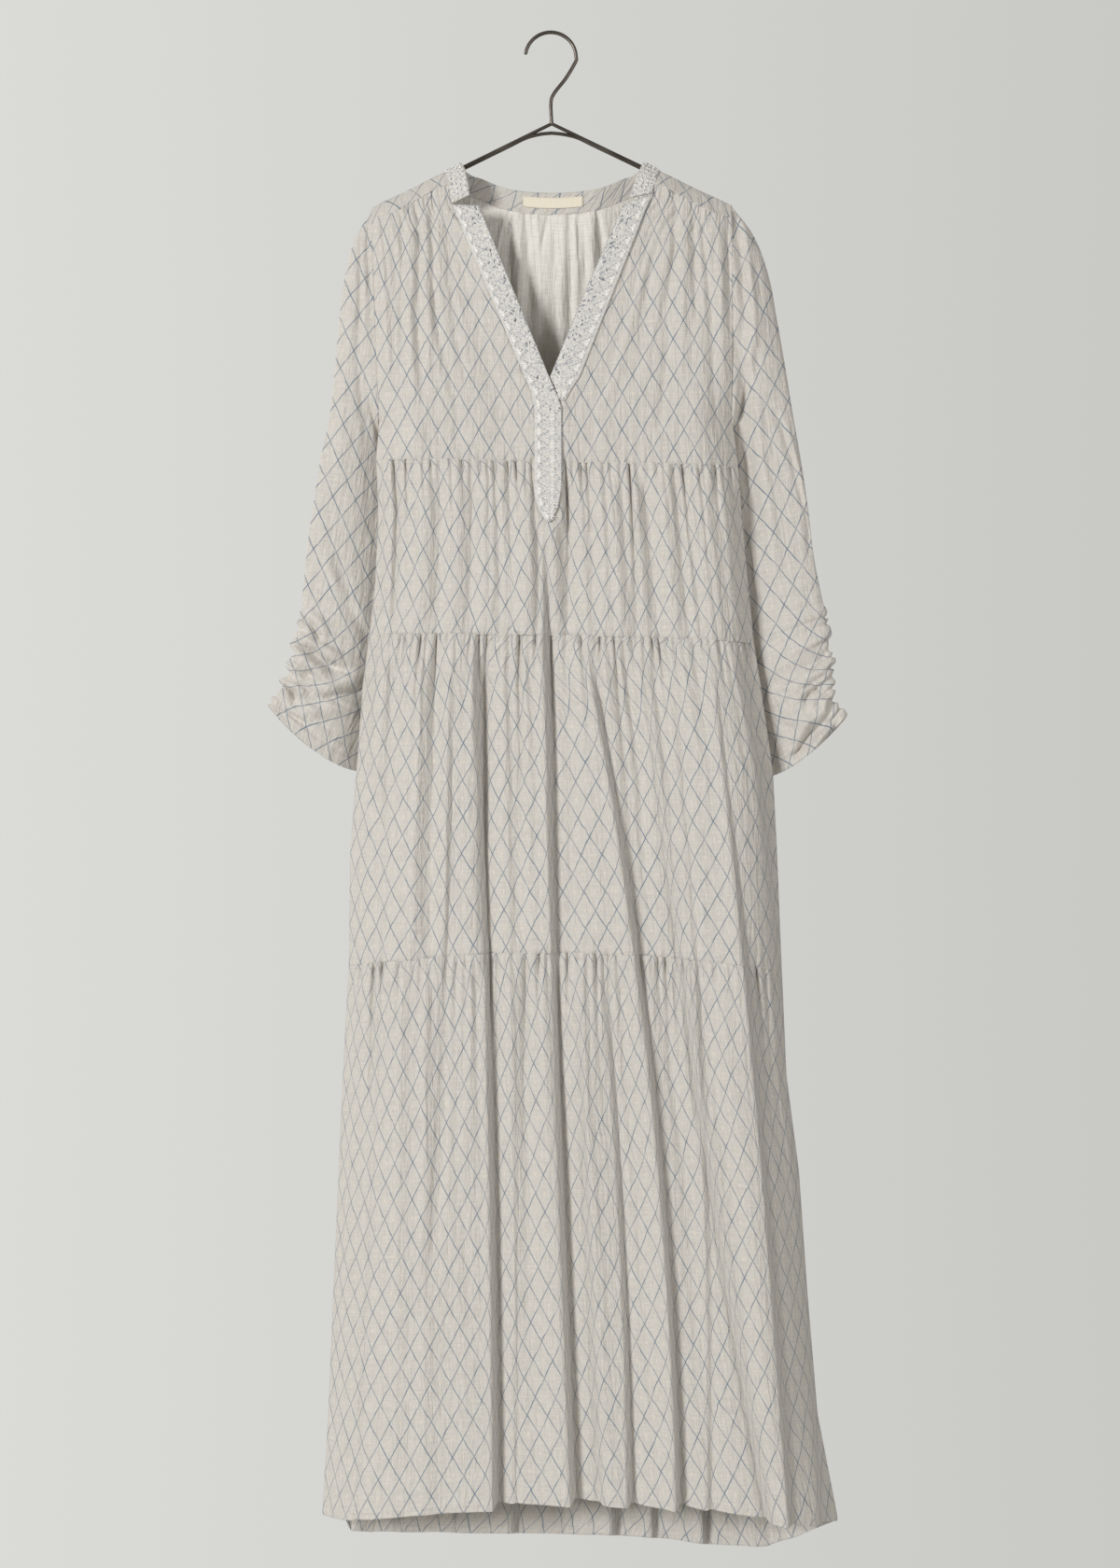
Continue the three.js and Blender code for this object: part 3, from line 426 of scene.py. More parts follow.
@dataclass(frozen=True)
class CottonVoile(Finish):
    """Crisp cotton voile, plain woven, with slubs, a crinkle and, where it has one, a lattice print.

    The uneven yarns give the eye a slightly streaky ground that is matt in the light and warm in
    the folds. The lattice is printed in one pale ink whose strength wanders.

    Attributes:
        name: Name of the material.
        ground: Colour of the cloth.
        ink: Colour of the lattice, or an empty text for plain cloth.
        fleck: Colour of the small fleck in each diamond.
        wide: Width of a diamond in millimetres.
        tall: Height of a diamond in millimetres.
        line: Width of a printed line in millimetres.
    """

    name: str
    ground: str
    ink: str = ""
    fleck: str = "#EADFCF"
    wide: float = 21.6
    tall: float = 35.0
    line: float = 0.95

    def inputs(self, tree: Tree) -> dict:
        """Draws the cloth on its own map."""
        flat = cloth_place(tree)
        slubs = self.slubs(tree, flat)
        tone = blend(tree, spread(tree, slubs, 0.34, 0.62), linear(self.ground, 0.85), linear(self.ground))
        if self.ink:
            tone = self.printed(tree, flat, tone)
        return dict(Base_Color=tone, Roughness=0.86, Sheen_Weight=0.18, Sheen_Roughness=0.45,
                    Normal=self.crinkle(tree, flat, slubs))

    def slubs(self, tree: Tree, flat: object) -> object:
        """Draws the uneven yarns of warp and weft.

        Real yarns lie 0.3 mm apart, too fine to show, so they are drawn about 1.2 mm apart.
        """
        yarns = []
        for scale in ((830.0, 60.0, 1.0), (60.0, 830.0, 1.0)):
            scaled = add_node(tree, "Mapping", s0=flat, Scale=scale).outputs[0]
            yarns.append(noise(tree, scaled, 1.0, 1.0, "2D"))
        return arithmetic(tree, "MULTIPLY", arithmetic(tree, "ADD", *yarns), 0.5)

    def crinkle(self, tree: Tree, flat: object, slubs: object) -> object:
        """Draws the fine crinkle of washed voile, about 5 mm wide and 30 mm long."""
        scaled = add_node(tree, "Mapping", s0=flat, Scale=(190.0, 34.0, 1.0)).outputs[0]
        crumples = noise(tree, scaled, 1.0, 3.0, "2D", Roughness=0.6)
        return bump(tree, crumples, 0.8, 2.4, Normal=bump(tree, slubs, 0.25, 0.15))

    def printed(self, tree: Tree, flat: object, tone: object) -> object:
        """Prints the diamond lattice and its flecks over the ground.

        Args:
            tree: Tree of the material.
            flat: Place on the flat cloth.
            tone: Colour of the unprinted cloth.

        Returns:
            The printed colour.
        """
        wander = noise(tree, flat, 70.0, 2.0, "2D")
        wobble = arithmetic(tree, "MULTIPLY", arithmetic(tree, "SUBTRACT", wander, 0.5), 0.11)
        place = add_node(tree, "SeparateXYZ", s0=flat)
        columns = arithmetic(tree, "MULTIPLY", place.outputs[0], 1.0 / (self.wide * MM))
        rows = arithmetic(tree, "MULTIPLY", place.outputs[1], 1.0 / (self.tall * MM))
        half = self.line / 2 * math.hypot(self.wide, self.tall) / (self.wide * self.tall)
        lines = []
        centres = []
        for way in ("ADD", "SUBTRACT"):
            run = arithmetic(tree, "ADD", arithmetic(tree, way, columns, rows), wobble)
            away = arithmetic(tree, "PINGPONG", run, 0.5)
            lines.append(spread(tree, away, half * 0.45, half * 1.5, 1.0, 0.0, soft=True))
            centres.append(arithmetic(tree, "SUBTRACT", 0.5, away))
        strength = spread(tree, wander, 0.3, 0.62, 0.5, 0.95)
        drawn = arithmetic(tree, "MULTIPLY", arithmetic(tree, "MAXIMUM", *lines), strength)
        inked = blend(tree, drawn, tone, linear(self.ink))
        fleck = spread(tree, arithmetic(tree, "MAXIMUM", *centres), 0.035, 0.075, 0.7, 0.0, soft=True)
        return blend(tree, fleck, inked, linear(self.fleck))


@dataclass(frozen=True)
class StitchedGround(Finish):
    """Cotton band covered in fine machine stitching, which gives the eye a close silvery grain.

    Attributes:
        name: Name of the material.
        ground: Colour between the stitches.
        thread: Colour of the silver-blue thread.
        stitch: Length of a stitch in millimetres.
    """

    name: str = "embroidered_cotton"
    ground: str = "#E9E6E0"
    thread: str = "#C9CCD0"
    stitch: float = 2.4

    def inputs(self, tree: Tree) -> dict:
        """Draws the stitches on the band's own map."""
        along = 1.0 / (self.stitch * MM)
        turned = add_node(tree, "Mapping", s0=cloth_place(tree), Rotation=(0.0, 0.0, 0.7),
                          Scale=(along, 3.4 * along, 1.0)).outputs[0]
        cells = add_node(tree, "TexVoronoi", {"voronoi_dimensions": "2D", "feature": "F1"}, Vector=turned,
                         Scale=1.0)
        chosen = add_node(tree, "SeparateColor", s0=cells.outputs["Color"]).outputs[0]
        share = spread(tree, chosen, 0.5, 0.8, 0.0, 0.7, soft=True)
        raised = arithmetic(tree, "SUBTRACT", 1.0, cells.outputs["Distance"])
        return dict(Base_Color=blend(tree, share, linear(self.ground), linear(self.thread)),
                    Roughness=0.62, Sheen_Weight=0.25, Normal=bump(tree, raised, 0.6, 0.6))


@dataclass(frozen=True)
class SilkThread(Finish):
    """Twisted silk embroidery thread, whose gloss gives the eye small bright dashes.

    Attributes:
        name: Name of the material.
        colour: Colour of the thread.
        roughness: Roughness of the thread.
    """

    name: str
    colour: str
    roughness: float = 0.42

    def inputs(self, tree: Tree) -> dict:
        """Draws a twist of 1.2 mm along the thread."""
        twist = noise(tree, object_place(tree), 830.0, 1.0)
        tone = blend(tree, twist, linear(self.colour, 0.86), linear(self.colour))
        return dict(Base_Color=tone, Roughness=self.roughness, Sheen_Weight=0.3,
                    Normal=bump(tree, twist, 0.4, 0.2))


@dataclass(frozen=True)
class SatinRibbon(Finish):
    """Woven satin ribbon, whose close cross ribs give the eye a soft cream gloss, and whose colour is darker
    between them, painted shade in the hollows.

    Attributes:
        name: Name of the material.
        colour: Colour of the ribs.
        hollow: Darker colour between the ribs, painted shade in their hollows.
        rib: Distance between the ribs in millimetres, drawn coarser than the real 0.2 mm to show.
    """

    name: str = "satin_ribbon"
    colour: str = "#FAF3E2"
    hollow: str = "#EDE4CE"
    rib: float = 1.1

    def inputs(self, tree: Tree) -> dict:
        """Draws the ribs on the ribbon's own map, with painted shade between them."""
        ribs = add_node(tree, "TexWave", {"bands_direction": "X"}, Vector=cloth_place(tree),
                        Scale=0.314 / (self.rib * MM), Distortion=0.6).outputs[1]
        # Painted shade: the colour is darker in the hollows between the ribs.
        return dict(Base_Color=blend(tree, ribs, linear(self.hollow), linear(self.colour)),
                    Roughness=0.4, Normal=bump(tree, ribs, 0.3, 0.15))


@dataclass(frozen=True)
class BrushedSteel(Finish):
    """Drawn steel wire, brushed along its length and a little oxidised, dark with a soft streak.

    Attributes:
        name: Name of the material.
        bright: Colour of the bare metal.
        dull: Colour of the oxidised metal.
    """

    name: str = "drawn_steel"
    bright: str = "#7E7770"
    dull: str = "#5C554F"

    def inputs(self, tree: Tree) -> dict:
        """Draws clouding and fine drawing marks 0.5 mm wide."""
        place = object_place(tree)
        cloud = noise(tree, place, 35.0, 2.0)
        marks = noise(tree, place, 2000.0, 1.0)
        tone = blend(tree, cloud, linear(self.dull), linear(self.bright))
        return dict(Base_Color=tone, Metallic=1.0, Normal=bump(tree, marks, 0.2, 0.05),
                    Roughness=spread(tree, cloud, 0.3, 0.7, 0.3, 0.5))


@dataclass(frozen=True)
class PaleFloor(Finish):
    """Smooth painted floor in plain pale grey."""

    name: str = "pale_floor"
    colour: str = "#CFCECA"

    def inputs(self, tree: Tree) -> dict:
        """Draws a faint roller texture."""
        grain = noise(tree, object_place(tree), 90.0, 3.0)
        return dict(Base_Color=linear(self.colour), Roughness=0.8,
                    Normal=bump(tree, grain, 0.1, 0.4))


class Wardrobe:
    """The finishes of the dress and its hanger, each made once."""

    def __init__(self) -> None:
        """Makes every material."""
        self.voile = CottonVoile("cotton_voile_lattice_print", "#DCD8D1", ink="#64788F").material()
        self.lining = CottonVoile("cotton_voile_plain", "#F1EEE7").material()
        self.band = StitchedGround().material()
        self.threads = {
            "white": SilkThread("silk_thread_white", "#FFFDFA", 0.34).material(),
            "silver": SilkThread("silk_thread_silver", "#C2C6CB").material(),
            "slate": SilkThread("silk_thread_slate", "#747A86").material(),
            "cotton": SilkThread("cotton_thread", "#DDD9D0", 0.7).material(),
        }
        self.ribbon = SatinRibbon().material()
        self.steel = BrushedSteel().material()
        self.floor = PaleFloor().material()


@dataclass
class Shell:
    """Thin shell of cloth over a surface that is given by places across and down.

    Attributes:
        name: Name of the piece.
        surface: Gives points in millimetres.
        chart: Gives places on the flat cloth in millimetres.
        columns: Divisions across.
        rows: Divisions down.
        wall: Thickness in millimetres.
        welded: Whether the first and last columns meet and are joined.
        flat: Width and length in metres of the cloth that the built shell takes.
    """

    name: str
    surface: Surface
    chart: Chart
    columns: int
    rows: int
    wall: float = VOILE
    welded: bool = False
    flat: tuple[float, float] = (0.0, 0.0)

    def build(self, material: bpy.types.Material) -> bpy.types.Object:
        """Builds the shell.

        Args:
            material: Finish of the cloth.

        Returns:
            The new object, which rides on the body.
        """
        across, down = np.meshgrid(np.linspace(0, 1, self.columns + 1), np.linspace(0, 1, self.rows + 1))
        points = self.surface(across, down)
        chart = self.chart(across, down, points)
        self.flat = flat_cut(points)
        bm = bmesh.new()
        bmesh.ops.create_grid(bm, x_segments=self.columns, y_segments=self.rows, size=0.5)
        layer = bm.loops.layers.uv.new(CLOTH_MAP)
        for vert in bm.verts:
            column = round((vert.co.x + 0.5) * self.columns)
            row = round((0.5 - vert.co.y) * self.rows)
            vert.index = row * (self.columns + 1) + column
        places = (points * MM).reshape(-1, 3).tolist()
        charted = (chart * MM).reshape(-1, 2).tolist()
        for face in bm.faces:
            face.smooth = True
            for loop in face.loops:
                loop[layer].uv = charted[loop.vert.index]
        for vert in bm.verts:
            vert.co = places[vert.index]
        if self.welded:
            bmesh.ops.remove_doubles(bm, verts=bm.verts, dist=0.01 * MM)
        return finish_piece(self.name, bm, material, self.wall)


def put_in_scene(name: str, data: bpy.types.ID) -> bpy.types.Object:
    """Puts a new object in the scene."""
    thing = bpy.data.objects.new(name, data)
    bpy.context.scene.collection.objects.link(thing)
    return thing


def mesh_object(name: str, bm: bmesh.types.BMesh, material: bpy.types.Material) -> bpy.types.Object:
    """Turns a bmesh, which is freed, into an object of one finish."""
    mesh = bpy.data.meshes.new(name)
    bm.to_mesh(mesh)
    bm.free()
    mesh.materials.append(material)
    return put_in_scene(name, mesh)


def finish_piece(name: str, bm: bmesh.types.BMesh, material: bpy.types.Material,
                 wall: float = 0.0) -> bpy.types.Object:
    """Turns a bmesh into a piece that rides on the body.

    Args:
        name: Name of the piece.
        bm: Its shape, which is freed.
        material: Its finish.
        wall: Thickness in millimetres that a sheet is given, or 0 for a closed shape.

    Returns:
        The new object.
    """
    piece = mesh_object(name, bm, material)
    if wall:
        shell = piece.modifiers.new("wall", "SOLIDIFY")
        shell.thickness = wall * MM
        shell.offset = 0.0
    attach(piece, BODY)
    LOG.info("%s: %d faces", name, len(piece.data.polygons))
    return piece


def flat_cut(points: Grid) -> tuple[float, float]:
    """Gives the mean width and length, in metres, of a rectangle of cloth that a grid of points takes."""
    over = points[:-1, 1:] - points[:-1, :-1]
    under = points[1:, :-1] - points[:-1, :-1]
    area = float(np.linalg.norm(np.cross(over, under), axis=-1).sum())
    length = float(lengths(points, 0)[-1].mean())
    return area / length * MM, length * MM


def lengths(points: Grid, axis: int) -> Grid:
    """Gives the running length of a grid of points along an axis, 0 at its start."""
    steps = np.linalg.norm(np.diff(points, axis=axis), axis=-1)
    total = np.cumsum(steps, axis=axis)
    zero = np.zeros_like(np.take(total, [0], axis=axis))
    return np.concatenate((zero, total), axis=axis)


def normals(surface: Surface, across: Grid, down: Grid, step: float = 1e-3) -> Grid:
    """Gives a surface's unit normals, towards the side that a grid's faces show."""
    over = surface(np.minimum(across + step, 1), down) - surface(np.maximum(across - step, 0), down)
    under = surface(across, np.minimum(down + step, 1)) - surface(across, np.maximum(down - step, 0))
    return unit(np.cross(under, over))


def near_seams(down: Grid) -> Grid:
    """Draws the rows of a panel together towards its two seams, where its gathers are finest."""
    return down - 0.75 * np.sin(2.0 * math.pi * down) / (2.0 * math.pi)


def seam_groove(away: Grid, deepest: float = 0.55) -> Grid:
    """Gives the depth of the soft groove that the cloth sinks into at a seam."""
    return deepest * np.exp(-((away / 2.2) ** 2))


def both_grooves(below: Grid, above: Grid) -> Grid:
    """Gives the depth of the grooves at a panel's upper and lower seam together."""
    return seam_groove(below) + seam_groove(above, LOWER_GROOVE)


def calmed(gathers: Grid, above: Grid) -> Grid:
    """Eases gathers down to half towards the seam below them."""
    return gathers * mix(0.5, 1.0, smooth(above, 0.0, 30.0))


def gather_puff(below: Grid) -> Grid:
    """Gives the rise of gathered cloth just below its seam."""
    return 1.3 * smooth(below, 0.0, 5.0) * np.exp(-below / 45.0)


def crease_lift(creases: Sequence[Crease], place: Grid, width: Grid, below: Grid) -> Grid:
    """Adds up the creases of a panel.

    Args:
        creases: Creases that start at the panel's upper seam.
        place: Place across the panel, 0 to 1.
        width: Width of the panel at each point, in millimetres.
        below: Distance below the seam, in millimetres.

    Returns:
        Height over the plain cloth, in millimetres.
    """
    lift = np.zeros_like(place)
    for crease in creases:
        away = (place - crease.place) * width - crease.lean * below
        wide = crease.width + crease.spread * below
        lift += crease.height * np.exp(-((away / wide) ** 2) - np.maximum(below, 0.0) / crease.length)
    return lift


def wrinkle_lift(wrinkles: Sequence[Wrinkle], x: Grid, z: Grid) -> Grid:
    """Adds up listed wrinkles.

    Args:
        wrinkles: Wrinkles of a panel.
        x: Places across, in millimetres.
        z: Heights, in millimetres.

    Returns:
        Height over the plain cloth, in millimetres.
    """
    lift = np.zeros_like(x)
    for row in wrinkles:
        run_x = row.end_x - row.start_x
        run_z = row.end_z - row.start_z
        length = math.hypot(run_x, run_z)
        along = ((x - row.start_x) * run_x + (z - row.start_z) * run_z) / length
        aside = ((x - row.start_x) * -run_z + (z - row.start_z) * run_x) / length
        share = np.clip(along / length, 0.0, 1.0)
        beyond = along - share * length
        bowed = aside - row.bow * 4.0 * share * (1.0 - share)
        taper = mix(0.45, 1.0, np.sin(share * math.pi) ** 0.7)
        lift += row.height * taper * np.exp(-((bowed / row.width) ** 2) - (beyond / (1.6 * row.width)) ** 2)
    return lift


def fold_line(fold: Fold, z: Grid) -> tuple[Grid, Grid]:
    """Gives a fold's place across the body and its strength at a height."""
    down = np.clip((z - fold.top_z) / (fold.end_z - fold.top_z), 0.0, None)
    middle = (fold.mid_z - fold.top_z) / (fold.end_z - fold.top_z)
    bow = down * (1.0 - down) / (middle * (1.0 - middle))
    line = mix(fold.top_x, fold.end_x, down) + bow * (fold.mid_x - mix(fold.top_x, fold.end_x, middle))
    ending = 1.0 - smooth(fold.end_z - z, 0.0, 60.0)
    strength = mix(0.5, 1.0, np.minimum(down, 1.0)) * smooth(fold.top_z - z, 0.0, 90.0) * ending
    return line, strength


def fold_lift(folds: Sequence[Fold], x: Grid, z: Grid, edge: float) -> Grid:
    """Gives the rise or dip of the long folds, whose edges are a set width across."""
    lift = np.zeros_like(x)
    for fold in folds:
        line, strength = fold_line(fold, z)
        away = (x - line) * fold.crest
        crest = fold.rise * np.exp(np.minimum(0.0, -away) / fold.crest_run)
        trough = -fold.dip * np.exp(np.minimum(0.0, away) / fold.trough_run)
        lift += strength * mix(trough, crest, smooth(away, -edge, edge))
    return lift


def fold_tuck(folds: Sequence[Fold], x: Grid, z: Grid) -> Grid:
    """Gives how much more cloth than shows lies in the folds, as a share of each step across."""
    reach = 5.0
    extra = np.zeros_like(x)
    for fold in folds:
        line, strength = fold_line(fold, z)
        extra += strength * fold.tuck / (reach * math.sqrt(math.pi)) * np.exp(-(((x - line) / reach) ** 2))
    return extra


FRONT_FOLDS = table(Fold, (
    (-1, -74, -560, -61, -888, -52, -1421, 10, 11, 80, 22, 30),
    (-1, -7, -470, 3, -878, 22, -1416, 8, 13, 42, 16, 30),
    (-1, 31, -575, 79, -865, 121, -1429, 9, 12, 18, 24, 30),
    (-1, 49, -880, 64, -1092, 75, -1416, 6, 9, 24, 12, 20),
    (1, 88, -585, 144, -1042, 208, -1429, 2, 10, 16, 26, 26),
    (-1, 151, -580, 183, -881, 227, -1433, 8, 4, 30, 9, 24),
    (-1, 181, -585, 211, -814, 257, -1413, 4, 3, 20, 9, 20),
))
# Smaller folds that lie between the long ones
FRONT_MINOR = table(Fold, (
    (1, 28, -890, 36, -1140, 49, -1416, 3, 6, 12, 12, 14),
    (-1, -98, -590, -96, -690, -100, -890, 2, 4, 12, 9, 8),
    (-1, -42, -600, -38, -740, -34, -1421, 1.5, 2.6, 14, 9, 6),
    (-1, 112, -590, 128, -760, 150, -1421, 2, 3.8, 12, 9, 10),
    (-1, -150, -420, -156, -700, -186, -1421, 1.4, 2.2, 14, 12, 6),
))
BACK_FOLDS = table(Fold, (
    (1, -22, -500, -30, -900, -36, -1440, 5, 7, 34, 22, 26),
    (-1, -120, -560, -128, -900, -150, -1440, 3, 5, 40, 24, 20),
    (1, 52, -580, 58, -900, 62, -1440, 6, 8, 20, 20, 26),
    (1, 86, -580, 92, -900, 100, -1440, 5, 7, 22, 14, 20),
    (1, 118, -580, 130, -900, 150, -1440, 7, 8, 40, 14, 26),
))
BACK_MINOR = table(Fold, (
    (-1, -78, -600, -82, -1000, -92, -1440, 2, 3.4, 14, 10, 10),
    (-1, 12, -560, 10, -1000, 14, -1440, 2, 3.4, 14, 10, 10),
    (-1, 176, -560, 196, -900, 226, -1440, 3, 6, 24, 12, 12),
    (-1, -150, -560, -164, -900, -190, -1440, 2.4, 4, 18, 12, 12),
))
FRONT_SEAMS = {
    "waist": SeamLine(-412, -416, -419),
    "second": SeamLine(-581, -582, -588),
    "third": SeamLine(-898, -884, -903),
    "hem": SeamLine(-1427, -1403, -1433),
}
BACK_SEAMS = {
    "waist": SeamLine(-412, -414, -419),
    "second": SeamLine(-581, -584, -588),
    "third": SeamLine(-898, -897, -903),
    "hem": SeamLine(-1427, -1458, -1433),
}
BACK_HEM = table(SeamPoint, (
    (0, -1426), (0.035, -1429), (0.05, -1449), (0.09, -1453), (0.3, -1455), (0.55, -1456),
    (0.68, -1461), (0.75, -1466), (0.87, -1468), (0.93, -1456), (1, -1433),
))


@dataclass
class Gathering:
    """Gathers below a seam: narrow troughs between them and broad soft waves that run further down.

    Attributes:
        seed: Seed of the uneven spacing.
        troughs: How many narrow troughs start at the seam.
        waves: How many broad waves run down the panel.
        depth: Mean depth of a trough in millimetres.
        wave: Mean height of a broad wave in millimetres.
        reach: Mean length of a trough in millimetres.
        lean: Sideways drift of the troughs at the right side, in millimetres per millimetre down.
        held: Share of a trough's depth that it has right at the seam.
    """

    seed: int
    troughs: int = 54
    waves: int = 15
    depth: float = 2.3
    wave: float = 2.1
    reach: float = 46.0
    lean: float = 0.0
    held: float = 0.3

    def creases(self) -> list[Crease]:
        """Lists the narrow creases, unevenly spaced, deep and long."""
        chance = random.Random(self.seed)
        found = []
        for number in range(self.troughs):
            place = (number + 0.5 + chance.uniform(-0.34, 0.34)) / self.troughs
            length = self.reach * chance.choice((0.4, 0.7, 1.0, 1.5, 2.6, 5.0)) * chance.uniform(0.8, 1.25)
            depth = -self.depth * chance.choice((0.4, 0.8, 1.1, 1.5, 2.1)) * chance.uniform(0.8, 1.2)
            lean = self.lean * place + chance.uniform(-0.025, 0.025)
            found.append(Crease(place, depth, chance.uniform(1.4, 2.9), 0.014, length, lean))
        return found

    def swells(self) -> list[Crease]:
        """Lists the broad soft waves, some of them hollow."""
        chance = random.Random(self.seed + 500)
        found = []
        for number in range(self.waves):
            place = (number + 0.5 + chance.uniform(-0.3, 0.3)) / self.waves
            height = self.wave * chance.uniform(0.6, 1.7) * chance.choice((1, 1, -1.3))
            width = chance.uniform(3.4, 8.0)
            lean = self.lean * place + chance.uniform(-0.02, 0.02)
            found.append(Crease(place, height, width, 0.012, chance.uniform(260.0, 900.0), lean))
        return found

    def pits(self) -> list[Crease]:
        """Lists the tight pits that the gathers start in, right at the seam."""
        return [crease._replace(height=crease.height * 0.5, width=1.4, spread=0.05, length=5.0)
                for crease in self.creases()]

    def puckers(self) -> list[Crease]:
        """Lists the short puckers that the same seam draws into the cloth above it."""
        return [crease._replace(height=crease.height * self.held, length=9.0, lean=0.0)
                for crease in self.creases()]

    def relief(self, place: Grid, width: Grid, below: Grid) -> Grid:
        """Gives the gathered cloth's height, held flatter at its seam."""
        free = mix(self.held, 1.0, smooth(below, 0.0, 8.0))
        narrow = crease_lift(self.creases(), place, width, below) * free
        broad = crease_lift(self.swells(), place, width, below) * smooth(below, 0.0, 40.0)
        return narrow + broad + crease_lift(self.pits(), place, width, below)


class Cloth:
    """What the sheets of the dress share: a shell on a surface, which stands for a solid.

    Attributes:
        ending: Ending of the piece's name, after the name of its solid.
        finish: Its finish in the wardrobe.
        slot: Its material slot.
        held: How it is held.
        wall: Its thickness in millimetres.
        welded: Whether its first and last columns are joined.
    """

    ending = "cloth"
    finish = "voile"
    slot = "printed_cotton"
    held = "gathered"
    wall = VOILE
    welded = False

    def chart(self, across: Grid, down: Grid, points: Grid) -> Grid:
        """Lays the sheet flat, each run at its own length."""
        return np.stack((lengths(points, 1), -lengths(points, 0)), axis=-1)

    def overlays(self, wardrobe: Wardrobe, under: str) -> list[bpy.types.Object]:
        """Builds the separate pieces that lie on the sheet; most sheets have none."""
        return []

    def build(self, wardrobe: Wardrobe) -> None:
        """Builds the sheet, which stands for its solid, and hides the solid."""
        shell = Shell(f"{self.node}_{self.ending}", self.surface, self.chart, self.columns, self.rows,
                      self.wall, self.welded)
        piece = shell.build(getattr(wardrobe, self.finish))
        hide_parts(self.node)
        self.overlays(wardrobe, piece.name)


class SidedCloth(Cloth):
    """Sheet that the dress has on each side, where solid names its kind."""

    @property
    def node(self) -> str:
        """Names the solid that it stands for."""
        return f"{self.solid}_{self.side.name.lower()}"


@dataclass
class SkirtTier(Cloth):
    """One face of one gathered tier.

    Attributes:
        node: Solid that it stands for.
        face: Face of the garment.
        upper: Name of the seam above.
        lower: Name of the seam or hem below.
        gathering: Its gathers.
        next_gathering: Gathers of the tier below, which pucker its lower edge.
        columns: Divisions across.
        rows: Divisions down.
        fullness: Flat width of the cloth over the longest line that shows across it.
        edge_calm: Width in which its relief fades out towards a side.
        fold_edge: Half the width of the step from a fold's trough to its crest.
        overlap: How far it starts above its seam.
        lobe: How much lower the hem hangs for each millimetre that a fold stands out.
        tab: Middle, half width and end of the place that the placket's tab presses flat.
    """

    node: str
    face: Face
    upper: str
    lower: str
    gathering: Gathering
    next_gathering: Gathering | None
    columns: int
    rows: int
    fullness: float = 1.04
    edge_calm: float = 9.0
    fold_edge: float = 3.2
    overlap: float = 1.2
    lobe: float = 0.24
    tab: tuple[float, float, float] = (-2.2, 18.0, -486.0)

    @property
    def is_hem(self) -> bool:
        """Tells whether the tier ends in the hem."""
        return self.lower == "hem"

    @property
    def seams(self) -> dict[str, SeamLine]:
        """Gives the seams of the tier's face."""
        return FRONT_SEAMS if self.face is Face.FRONT else BACK_SEAMS

    @property
    def folds(self) -> tuple[Fold, ...]:
        """Gives the folds of the tier's face."""
        return FRONT_FOLDS + FRONT_MINOR if self.face is Face.FRONT else BACK_FOLDS + BACK_MINOR

    def heights(self, across: Grid) -> tuple[Grid, Grid]:
        """Gives the heights of the upper and lower edge at a place across."""
        top = seam_height(self.seams[self.upper], across) + self.overlap
        bottom = seam_height(self.seams[self.lower], across)
        if self.is_hem and self.face is Face.BACK:
            bottom = read_table(BACK_HEM, "x", "z", across)
        return top, bottom

    def surface(self, across: Grid, down: Grid) -> Grid:
        """Gives the points of the hung tier."""
        down = near_seams(down)
        top, bottom = self.heights(across)
        z = mix(top, bottom, down)
        left = FORM.edge(Side.LEFT, z)
        right = FORM.edge(Side.RIGHT, z)
        x = mix(left, right, across)
        below = top - z
        above = z - bottom
        calm = smooth(np.minimum(x - left, right - x), 0.0, self.edge_calm)
        gathers = self.gathering.relief(across, right - left, below)
        if self.face is Face.FRONT:
            middle, half, end = self.tab
            pressed = smooth(half - np.abs(x - middle), 0.0, 6.0) * smooth(z, end, end + 14.0)
            gathers = gathers * (1.0 - pressed)
        if self.next_gathering:
            puckers = crease_lift(self.next_gathering.puckers(), across, right - left, above)
            gathers = calmed(gathers, above) + puckers - seam_groove(above, LOWER_GROOVE)
        if self.is_hem:
            gathers = gathers + 0.5 * np.exp(-((above - 6.5) / 1.8) ** 2)
        folds = fold_lift(self.folds, x, z, self.fold_edge)
        if self.face is Face.FRONT:
            folds = folds + wrinkle_lift(TIER_WRINKLES, x, z)
        if self.is_hem:
            z = z - self.lobe * folds * calm * down ** 3
        lift = calm * (folds + gathers + gather_puff(below)) - seam_groove(below, 0.2)
        depth = FORM.depth(self.face, x, z) + lift
        return stack(x, self.face.value * depth, z)

    def chart(self, across: Grid, down: Grid, points: Grid) -> Grid:
        """Lays the tier flat: each line across has the same width, tucked cloth included."""
        steps = np.linalg.norm(np.diff(points[..., :2], axis=1), axis=-1)
        extra = fold_tuck(self.folds, points[..., 0], points[..., 2])
        steps = steps + np.diff(points[..., 0], axis=1) * (extra[:, 1:] + extra[:, :-1]) / 2
        run = np.concatenate((np.zeros((len(steps), 1)), np.cumsum(steps, axis=1)), axis=1)
        width = run[:, -1:].max() * self.fullness
        return np.stack((run / run[:, -1:] * width, -lengths(points, 0)), axis=-1)


def waist_puckers(x: Grid, z: Grid, above: Grid) -> Grid:
    """Gives the short puckers that the first tier's gathers draw into the cloth above the waist."""
    return crease_lift(TIER_GATHERS["tier_1"].puckers(), FORM.across(x, z), WAIST_WIDTH, above)


BODICE_EDGES = {
    Side.LEFT: table(EdgePoint, (
        (-147, -96), (-168, -91), (-174, -88), (-200, -70), (-250, -49), (-334, -15), (-362, -1.2),
        (-420, -1.2),
    )),
    Side.RIGHT: table(EdgePoint, (
        (-147, 99), (-159, 94), (-174, 80), (-250, 50), (-334, 18), (-362, -0.8), (-420, -0.8),
    )),
}


